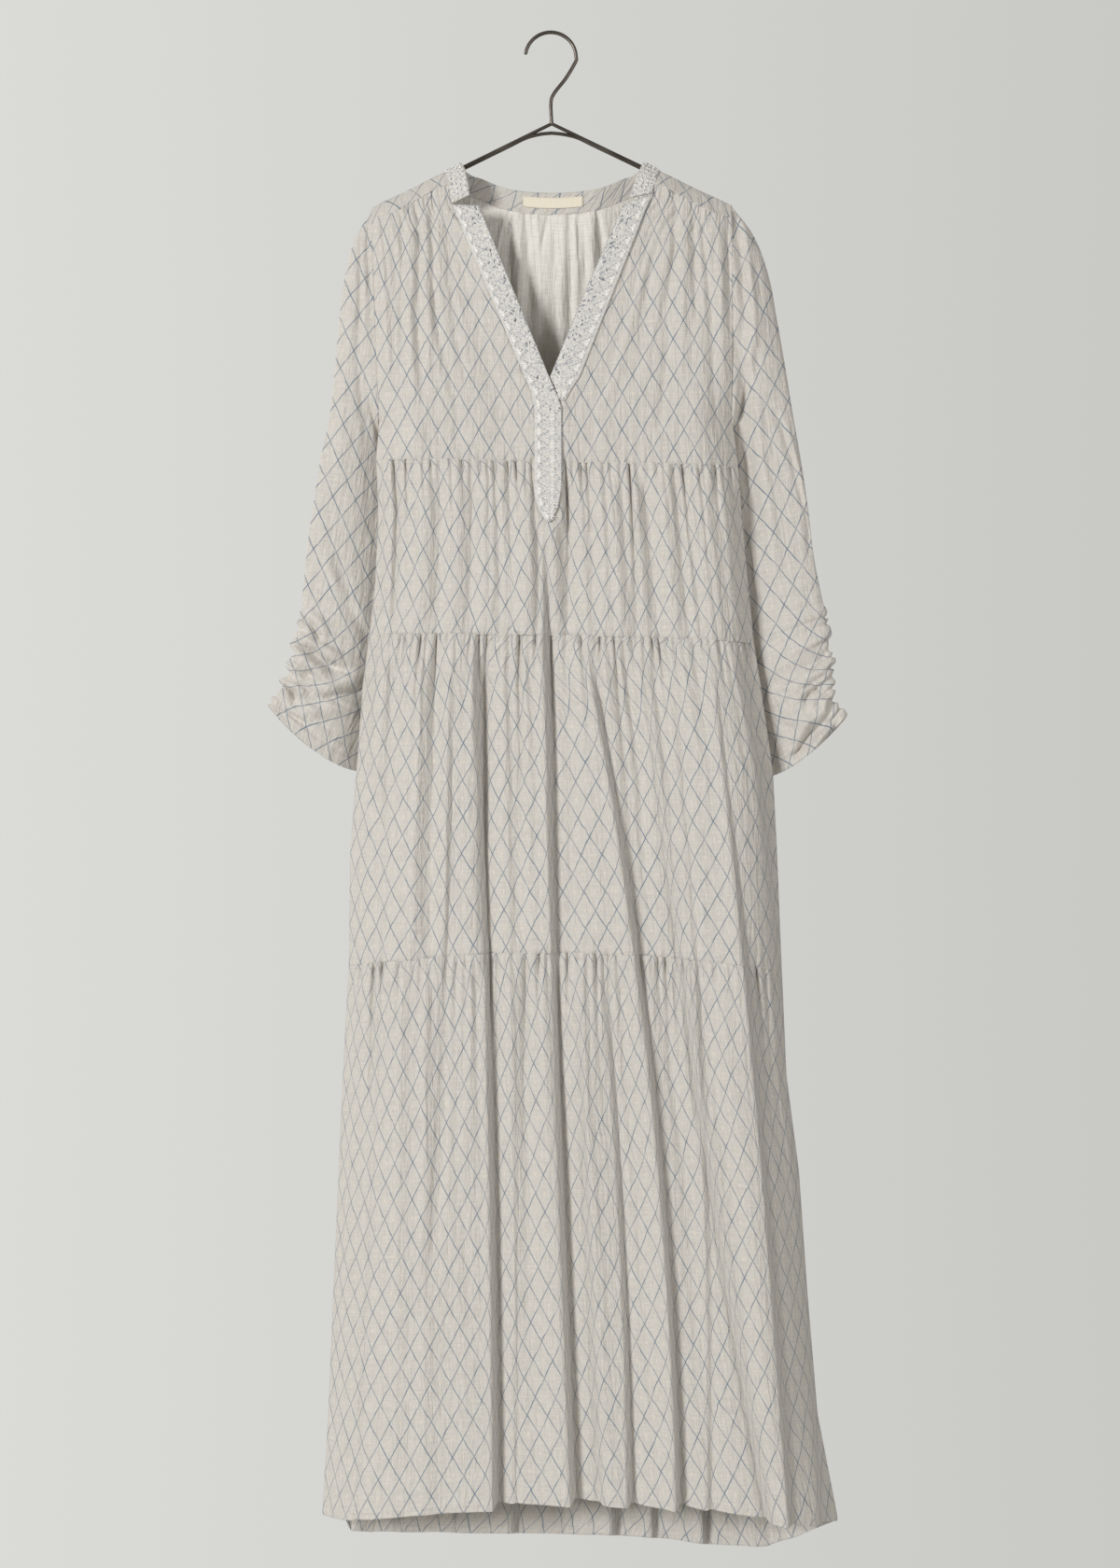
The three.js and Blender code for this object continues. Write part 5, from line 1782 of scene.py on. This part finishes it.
@dataclass
class Sleeve(SidedCloth):
    """Full sleeve, set into the armhole and ruched along the outer seam at the cuff.

    Attributes:
        side: Side of the garment.
        seed: Seed of its uneven creases.
        ruche_start: Share of its length at which the ruching starts.
        ruches: How many puffs the ruching has.
        puff: Height of a puff.
        grain_tilt: Turn of the cloth's grain, in radians.
        fan: How far the ruching turns the print outwards on the flat cloth.
        gathered: Length of cloth that the ruching takes up at the outer seam.
        columns: Divisions round it.
        rows: Divisions down it.
        cuff_row: Place down the sleeve of the cuff's stitches.
        fine_creases: How many creases run in from the ruched seam.
        soft_creases: How many soft creases lie above them.
    """

    solid = "sleeve"
    welded = True

    side: Side
    seed: int
    ruche_start: float = 0.76
    ruches: int = 8
    puff: float = 2.2
    grain_tilt: float = 0.15
    fan: float = 26.0
    gathered: float = 62.0
    columns: int = 112
    rows: int = 176
    cuff_row: float = 0.988
    fine_creases: int = 30
    soft_creases: int = 7

    @property
    def rings(self) -> tuple[SleeveRing, ...]:
        """Gives the sleeve's sections."""
        return SLEEVE_RINGS[self.side]

    def creases(self) -> list[SleeveCrease]:
        """Lists the creases that run in from the ruched seam, and the soft ones above them."""
        chance = random.Random(self.seed)
        found = []
        for number in range(self.fine_creases):
            share = (number + chance.uniform(0, 1)) / self.fine_creases
            down = self.ruche_start - 0.03 + (0.99 - self.ruche_start) * share
            height = chance.uniform(1.6, 3.8) * (1 if number % 2 else -1)
            found.append(SleeveCrease(down, chance.uniform(-0.5, 0.5), height, chance.uniform(0.006, 0.010),
                                      chance.uniform(0.5, 1.5), chance.uniform(-0.02, 0.025)))
        for _ in range(self.soft_creases):
            found.append(SleeveCrease(chance.uniform(0.45, 0.78), chance.uniform(-2.6, 2.6),
                                      chance.uniform(-2.2, 2.2), chance.uniform(0.015, 0.03),
                                      chance.uniform(0.5, 0.9), chance.uniform(-0.05, 0.05)))
        return found

    def long_folds(self) -> list[tuple[float, float, float, float, float]]:
        """Lists the folds along the sleeve: angle, height, width, first and last share of the length."""
        return [
            (1.15, 3.2, 0.34, 0.02, 1.0),
            (2.1, -3.0, 0.3, 0.02, 1.0),
            (-1.3, 3.0, 0.34, 0.02, 1.0),
            (-2.2, -2.6, 0.3, 0.02, 1.0),
            (1.5, -1.6, 0.12, 0.15, 0.7),
            (1.85, 1.6, 0.12, 0.25, 0.8),
            (-0.8, -2.0, 0.14, 0.0, 0.5),
            (-1.7, -2.2, 0.14, 0.1, 0.8),
        ]

    def toward_cuff(self, down: Grid) -> Grid:
        """Draws the rows together towards the cuff, where the creases are finest."""
        return down + 0.5 * down * (1.0 - down)

    def axes(self, down: Grid) -> tuple[Grid, Grid, Grid, dict[str, Grid]]:
        """Gives a section's middle, its half width outwards, its depth way and its columns."""
        read = {name: read_curve(self.rings, name, down) for name in SleeveRing._fields}
        outer = stack(read["out_x"], 0.0, read["out_z"])
        inner = stack(read["in_x"], read["in_y"], read["in_z"])
        wide = (outer - inner) / 2
        deep = np.zeros_like(wide)
        deep[..., 1] = 1.0
        along = np.sum(deep * wide, axis=-1, keepdims=True) / np.sum(wide * wide, axis=-1, keepdims=True)
        return (outer + inner) / 2, wide, unit(deep - wide * along), read

    def surface(self, around: Grid, down: Grid) -> Grid:
        """Gives the points of the hung sleeve."""
        down = self.toward_cuff(down)
        angle = 2.0 * math.pi * around
        middle, wide, deep, read = self.axes(down)
        grown = smooth(down, 0.02, 0.3)
        lift = np.zeros_like(angle)
        for centre, height, width, start, end in self.long_folds():
            away = turn_from(angle, centre)
            reach = smooth(down, start, start + 0.12) * (1.0 - smooth(down, end - 0.1, end + 0.05))
            lift += (grown if end == 1.0 else reach) * height * np.exp(-(away ** 2) / (2 * width * width))
        for crease in self.creases():
            away = turn_from(angle, crease.angle)
            across = (down - crease.down - crease.drift * away) / crease.width
            lift += crease.height * np.exp(-(across ** 2) - (away / crease.arc) ** 2)
        ruched = np.clip((down - self.ruche_start) / (1.0 - self.ruche_start), 0.0, 1.0)
        wander = 0.35 * np.sin(ruched * 17.0 + self.seed) + 0.2 * np.sin(ruched * 41.0)
        near_outer = ((1.0 + np.cos(angle)) / 2) ** 2.2
        rise = np.sin(2 * math.pi * (self.ruches * ruched + wander)) * smooth(ruched, 0, 0.08)
        puff = near_outer * self.puff * rise
        half_wide = np.linalg.norm(wide, axis=-1)
        body = middle + wide * (np.cos(angle) * (1.0 + puff / half_wide))[..., None]
        point = body - deep * (np.sin(angle) * (read["half"] + lift + puff))[..., None]
        point[..., 2] -= read["sag"] * np.sin(angle) ** 2
        front = smooth(np.sin(angle), -0.2, 0.35)
        back = smooth(-np.sin(angle), -0.2, 0.35)
        shown = wrinkle_lift(SLEEVE_WRINKLES[self.side], point[..., 0], point[..., 2])
        hidden = wrinkle_lift(SLEEVE_WRINKLES[self.side][::2], point[..., 0], point[..., 2] + 12.0)
        point[..., 1] += back * hidden - front * shown
        pushed = read_table(RUCHES[self.side], "z", "x", point[..., 2])
        point[..., 0] += self.side.value * pushed * near_outer
        return point

    def chart(self, around: Grid, down: Grid, points: Grid) -> Grid:
        """Lays the sleeve flat along its grain, with the cloth that the ruching takes up spread out."""
        ruched = smooth(self.toward_cuff(down), self.ruche_start, 1.0)
        outer = (1.0 + np.cos(2.0 * math.pi * around)) / 2
        sine, cosine = math.sin(self.grain_tilt), math.cos(self.grain_tilt)
        outward = self.side.value * points[..., 0]
        across = outward * cosine + points[..., 2] * sine - self.fan * ruched ** 2
        along = points[..., 2] * cosine - outward * sine - self.gathered * ruched * outer ** 1.6
        return np.stack((self.side.value * across, along), axis=-1)


@dataclass(frozen=True)
class Wire:
    """Round wire along a route in the plane of the hanger.

    Attributes:
        route: Points of the route as X and Z in millimetres.
        radius: Radius in millimetres.
        step: Distance between its sections.
        segments: Sides of its section.
    """

    route: tuple[tuple[float, float], ...]
    radius: float
    step: float = 2.2
    segments: int = 14

    def samples(self) -> Grid:
        """Gives the middles of the sections on a smooth curve."""
        rows = [EdgePoint(z, x) for x, z in self.route]
        fine = np.linspace(0, 1, 40 * len(rows))
        dense = stack(read_curve(rows, "x", fine), 0.0, read_curve(rows, "z", fine))
        run = lengths(dense, 0)
        even = np.linspace(0, run[-1], max(4, int(run[-1] / self.step)))
        return np.stack([np.interp(even, run, dense[:, axis]) for axis in range(3)], axis=-1)

    def add(self, bm: bmesh.types.BMesh) -> None:
        """Sweeps the wire into a bmesh, with rounded ends."""
        middles = self.samples()
        ways = unit(np.gradient(middles, axis=0))
        rounds = [(out, math.sqrt(1 - out * out)) for out in (-0.95, -0.8, -0.45)]
        stations = [(middles[0] + ways[0] * self.radius * out, ways[0], share) for out, share in rounds]
        stations += [(middle, way, 1.0) for middle, way in zip(middles, ways)]
        stations += [(middles[-1] - ways[-1] * self.radius * out, ways[-1], share)
                     for out, share in reversed(rounds)]
        loops = []
        for middle, way, share in stations:
            turn = Vector(way).to_track_quat("Z", "Y").to_matrix().to_4x4()
            place = Matrix.Translation(Vector(middle) * MM) @ turn
            made = bmesh.ops.create_circle(bm, segments=self.segments, radius=self.radius * share * MM,
                                           matrix=place)
            loops.append(list({edge for vert in made["verts"] for edge in vert.link_edges}))
        for first, second in zip(loops, loops[1:]):
            bmesh.ops.bridge_loops(bm, edges=first + second)
        for loop in (loops[0], loops[-1]):
            bmesh.ops.edgeloop_fill(bm, edges=loop)


@dataclass(frozen=True)
class WireHanger:
    """Steel wire hanger: hook and stem, two arms, and a second wire that bows under the neck.

    Attributes:
        hook_radius: Middle radius of the hook's bend.
        hook_wire: Radius of the hook's wire.
        arm_wire: Radius of the arms' wire.
        ends: Ends of the arms.
        drop: How far the lower wires hang below the arms.
    """

    hook_radius: float = 24.5
    hook_wire: float = 1.8
    arm_wire: float = 1.7
    ends: tuple[tuple[Side, float], ...] = ((Side.LEFT, -164.0), (Side.RIGHT, 167.0))
    drop: float = 1.6

    def hook(self) -> Wire:
        """Gives the hook and its stem."""
        centre = self.hook_wire - self.hook_radius
        turns = np.radians(np.arange(169.0, -9.0, -7.375))
        bend = [(self.hook_radius * math.cos(turn), centre + self.hook_radius * math.sin(turn))
                for turn in turns]
        stem = ((15.0, -42.0), (3.6, -56.7), (0.2, -66.0), (HANGER.apex_x, HANGER.apex_z))
        return Wire((*bend, *stem), self.hook_wire)

    def arm(self, side: Side, end: float) -> Wire:
        """Gives a straight upper wire."""
        apex = (HANGER.apex_x, HANGER.apex_z)
        middle = (apex[0] + end) / 2
        route = (apex, (middle, float(HANGER.height(side, middle))), (end, float(HANGER.height(side, end))))
        return Wire(route, self.arm_wire)

    def bow(self, side: Side, end: float) -> Wire:
        """Gives a lower wire, from the top of the bow to its end under the arm."""
        sign = side.value
        x = [HANGER.apex_x + sign * 25.0, HANGER.apex_x + sign * 43.0, (end + sign * 43.0) / 2,
             end - sign * 1.7]
        under = [(place, float(HANGER.height(side, place)) - self.drop) for place in x]
        return Wire(((HANGER.apex_x, -95.4), (HANGER.apex_x + sign * 11.2, -96.6), *under), self.arm_wire)

    def build(self, wardrobe: Wardrobe) -> bpy.types.Object:
        """Builds the hanger, which stands for its solid."""
        bm = bmesh.new()
        wires = [self.hook()]
        for side, end in self.ends:
            wires += [self.arm(side, end), self.bow(side, end)]
        for wire in wires:
            wire.add(bm)
        bmesh.ops.recalc_face_normals(bm, faces=bm.faces)
        for face in bm.faces:
            face.smooth = True
        piece = finish_piece("hanger_wire", bm, wardrobe.steel)
        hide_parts("hanger")
        return piece


def stitch_line(sheet: StitchSheet, surface: Surface, places: Sequence[tuple[float, float]], length: float,
                gap: float, lift: float, width: float = 0.5) -> None:
    """Sews a row of stitches over a surface.

    Args:
        sheet: Thread that it is sewn with.
        surface: Cloth that it is sewn on.
        places: Places across and down that the row follows.
        length: Length of a stitch in millimetres.
        gap: Space between stitches in millimetres.
        lift: Height of the thread's middle over the cloth's middle.
        width: Width of the thread in millimetres.
    """
    across, down = (np.array(column) for column in zip(*places))
    points = surface(across[None, :], down[None, :])[0]
    out = normals(surface, across[None, :], down[None, :])[0]
    run = lengths(points, 0)
    for start in np.arange(gap, run[-1] - length, length + gap):
        at = start + length / 2
        middle = np.array([np.interp(at, run, points[:, axis]) for axis in range(3)])
        ahead = np.array([np.interp(at + 1, run, points[:, axis]) for axis in range(3)])
        normal = unit(np.array([np.interp(at, run, out[:, axis]) for axis in range(3)]))
        sheet.add(middle + normal * lift, ahead - middle, normal, (length, width, 0.35))


BODICE_WRINKLES = {
    Side.LEFT: table(Wrinkle, (
        (-128, -170, -126, -262, 1, -3.6, 3),
        (-127, -262, -124, -370, 0, -2.2, 4.5),
        (-114, -160, -107, -300, -2, -3, 3),
        (-142, -178, -142, -330, 0, -2.2, 3),
        (-134, -180, -133, -330, 0, 2.4, 5),
        (-120, -176, -116, -330, 0, 2.4, 5),
        (-158, -180, -157, -330, 0, 2, 6),
        (-98, -190, -84, -330, -3, -2, 5),
    )),
    Side.RIGHT: table(Wrinkle, (
        (119, -152, 112, -260, 3, -4, 3.2),
        (112, -260, 104, -380, 2, -2.6, 5),
        (137, -176, 139, -270, 0, -3.6, 3),
        (144, -178, 152, -258, 0, -3.6, 2.8),
        (152, -258, 158, -380, 0, -2, 4),
        (169, -196, 172, -280, 0, -3.4, 3),
        (128, -166, 126, -330, 0, 2.6, 5),
        (160, -182, 166, -330, 0, 2.8, 5),
        (98, -184, 82, -330, 3, -2, 5),
    )),
}
TIER_WRINKLES = table(Wrinkle, (
    (-96, -925, -105, -1100, 0, -3.4, 6),
    (-105, -1100, -121, -1230, 0, -2.4, 7),
    (-85, -905, -88, -1060, 1, -3.6, 5.5),
    (-88, -1060, -77, -1230, 0, -2.4, 7),
    (-172, -706, -170, -756, 3, -4, 4),
    (-166, -712, -158, -748, 0, 3, 4),
))


class SoftLight(NamedTuple):
    """Square soft light: its place, target and side in metres, and its power in watts."""

    name: str
    place: tuple[float, float, float]
    target: tuple[float, float, float]
    size: float
    power: float


class Studio:
    """Camera, floor and soft light, brighter on the left, as from a large window.

    Attributes:
        wall: Colour of the light from behind the dress, which is also the backdrop.
        room: Colour of the light from the room in front of it.
        room_share: Strength of the room's light beside the wall's.
        horizon: Y of the direction at which the room's light starts to turn into the wall's, and ends.
        window: How much stronger the light is on the left.
        distance: Distance of the camera from the dress, in metres.
        centre: Point that the camera faces.
        frame_height: Height of the picture at the dress, in metres.
        sensor: Width of the camera's sensor in millimetres.
        floor_z: Height of the floor.
        lights: The soft lights.
    """

    wall = "#D2D2CF"
    room = "#D8D2C8"
    room_share = 0.33
    horizon = (-0.1, 0.6)
    window = 0.45
    distance = 2.4
    centre = (0.009, 0.0, -0.723)
    frame_height = 1.512
    sensor = 36.0
    floor_z = -2.05
    lights = table(SoftLight, (
        ("key_left", (-3.2, -3.85, 0.15), (0.0, 0.0, -0.75), 1.1, 164.0),
        ("fill_right", (3.4, -3.2, 0.0), (0.0, 0.0, -0.75), 2.0, 60.0),
        ("back_soft", (-1.6, 2.6, 0.3), (0.0, 0.0, -0.7), 2.0, 22.0),
    ))

    def build(self, wardrobe: Wardrobe) -> None:
        """Builds the camera, the floor and the lights."""
        data = bpy.data.cameras.new("camera")
        data.sensor_width = self.sensor
        data.lens = self.sensor * self.distance / self.frame_height
        camera = put_in_scene("camera", data)
        camera.location = (self.centre[0], -self.distance, self.centre[2])
        camera.rotation_euler = (math.pi / 2, 0.0, 0.0)
        bpy.context.scene.camera = camera
        bm = bmesh.new()
        bmesh.ops.create_circle(bm, cap_ends=True, segments=96, radius=1.5,
                                matrix=Matrix.Translation((0.0, 0.0, self.floor_z)))
        mesh_object("floor", bm, wardrobe.floor)
        for soft in self.lights:
            self.light(soft)
        world = bpy.data.worlds.new("studio")
        bpy.context.scene.world = world
        world.use_nodes = True
        tree = world.node_tree
        way = add_node(tree, "SeparateXYZ", s0=add_node(tree, "TexCoord").outputs["Generated"])
        glow = spread(tree, way.outputs[0], -1.0, 1.0, 1.0 + self.window, 1.0 - self.window)
        behind = spread(tree, way.outputs[1], *self.horizon)
        strength = arithmetic(tree, "MULTIPLY", glow, spread(tree, behind, 0.0, 1.0, self.room_share, 1.0))
        background = tree.nodes["Background"]
        tree.links.new(blend(tree, behind, linear(self.room), linear(self.wall)), background.inputs[0])
        tree.links.new(strength, background.inputs[1])
        bpy.context.scene.view_settings.view_transform = "Standard"

    def light(self, soft: SoftLight) -> None:
        """Adds a soft light that faces its target."""
        data = bpy.data.lights.new(soft.name, "AREA")
        data.shape = "SQUARE"
        data.size = soft.size
        data.energy = soft.power
        light = put_in_scene(soft.name, data)
        light.location = soft.place
        light.rotation_euler = (Vector(soft.target) - Vector(soft.place)).to_track_quat("-Z", "Y").to_euler()


LINING_WRINKLES = table(Wrinkle, (
    (-39, -171, -40, -330, 0, -3, 3.4),
    (-24, -171, -20, -262, 0, -3.4, 2.6),
    (-17, -171, -14, -240, 0, -3, 2.4),
    (-31, -176, -30, -330, 0, 3.4, 5.5),
    (-2, -171, -9, -203, 0, -4, 2.2),
    (-11, -186, -16, -330, 2, 4, 6),
    (19, -172, 20, -300, 0, -6, 2.6),
    (11, -176, 12, -330, 0, 4, 5),
    (27, -172, 27, -214, 0, -3.4, 2.2),
    (31, -172, 34, -230, 0, -3.4, 2.2),
    (24, -186, 26, -330, 0, 3.4, 4),
    (46, -170, 51, -215, 0, -4, 2.6),
    (40, -172, 42, -300, 0, 3, 5),
))
TIER_GATHERS = {
    "tier_1": Gathering(seed=11, depth=3.3, wave=3.2, waves=22, reach=50.0, lean=0.03),
    "tier_2": Gathering(seed=23, depth=3.3, wave=3.2, waves=19, reach=56.0, lean=0.05),
    "tier_3": Gathering(seed=37, depth=3.2, wave=3.0, waves=18, reach=60.0, lean=0.06),
}
BACK_GATHERS = {
    "tier_1": Gathering(seed=12, troughs=36, depth=1.9, wave=1.6),
    "tier_2": Gathering(seed=24, troughs=36, depth=2.3, wave=2.0),
    "tier_3": Gathering(seed=38, troughs=36, depth=2.5, wave=2.2),
}


class TierPlan(NamedTuple):
    """Seams that a tier hangs between, and the divisions of its front and back."""

    upper: str
    lower: str
    columns: int
    rows: int
    back_columns: int
    back_rows: int


TIERS = {
    "tier_1": TierPlan("waist", "second", 300, 56, 170, 36),
    "tier_2": TierPlan("second", "third", 310, 92, 180, 56),
    "tier_3": TierPlan("third", "hem", 320, 124, 190, 80),
}


class TieredDress:
    """The whole dress, sewn piece by piece.

    Attributes:
        hem_row: Place down the lowest tier, before its rows are drawn together, of the hem's stitches.
    """

    hem_row = 0.95

    def __init__(self, wardrobe: Wardrobe) -> None:
        """Lays out the pieces and their threads."""
        self.wardrobe = wardrobe
        self.sheets = {
            "white": StitchSheet("embroidery_white"),
            "silver": StitchSheet("embroidery_silver"),
            "slate": StitchSheet("embroidery_slate"),
            "cotton": StitchSheet("seam_stitches"),
        }
        self.tiers = []
        for (name, plan), later in zip(TIERS.items(), [*list(TIERS)[1:], None]):
            for face, gathers, columns, rows in (
                    (Face.FRONT, TIER_GATHERS, plan.columns, plan.rows),
                    (Face.BACK, BACK_GATHERS, plan.back_columns, plan.back_rows)):
                self.tiers.append(SkirtTier(f"{name}_{face.name.lower()}", face, plan.upper, plan.lower,
                                            gathers[name], gathers.get(later), columns, rows))
        self.fronts = [FrontBodice(side, Gathering(seed, troughs, 6, 1.0, 1.2, 50.0), BODICE_WRINKLES[side])
                       for side, seed, troughs in ((Side.LEFT, 51, 16), (Side.RIGHT, 53, 17))]
        self.backs = [
            BackPanel("back_bodice", Gathering(61, 22, 9, 1.5, 1.3, 60.0)),
            BackPanel("back_lining", Gathering(67, 26, 12, 1.0, 1.0, 90.0), inset=5.8, trim=22.0, lined=True,
                      finish="lining", slot="plain_cotton", wrinkles=LINING_WRINKLES),
        ]
        self.yokes = [Yoke(side) for side in Side]
        self.sleeves = [Sleeve(Side.LEFT, 71), Sleeve(Side.RIGHT, 73)]
        self.plackets = [Placket("placket_over", PLACKET_OVER, 81),
                         Placket("placket_under", PLACKET_UNDER, 83)]
        self.neckband = Neckband()
        self.label = Label()

    def stitch_hem(self) -> None:
        """Sews the turned hem of both faces of the lowest tier and the edges of the cuffs."""
        for tier in self.tiers[-2:]:
            row = [(place, self.hem_row) for place in np.linspace(0.01, 0.99, 260)]
            stitch_line(self.sheets["cotton"], tier.surface, row, 2.4, 0.9, tier.face.value * -0.4)
        for sleeve in self.sleeves:
            row = [(place, sleeve.cuff_row) for place in np.linspace(0.0, 1.0, 160)]
            stitch_line(self.sheets["cotton"], sleeve.surface, row, 2.4, 1.0, 0.4)

    def build(self) -> None:
        """Builds every piece."""
        for part in (*self.backs, *self.fronts, *self.tiers, *self.yokes, *self.sleeves, *self.plackets,
                     self.neckband, self.label):
            part.build(self.wardrobe)
        for part in (*self.plackets, self.neckband, self.label):
            part.stitch(self.sheets)
        self.stitch_hem()
        for name, sheet in self.sheets.items():
            sheet.build(self.wardrobe.threads[name])


def main() -> None:
    """Builds the studio, the hanger and the dress."""
    logging.basicConfig(level=logging.INFO, format="%(name)s %(message)s")
    wardrobe = Wardrobe()
    Studio().build(wardrobe)
    WireHanger().build(wardrobe)
    TieredDress(wardrobe).build()


if __name__ == "__main__":
    main()
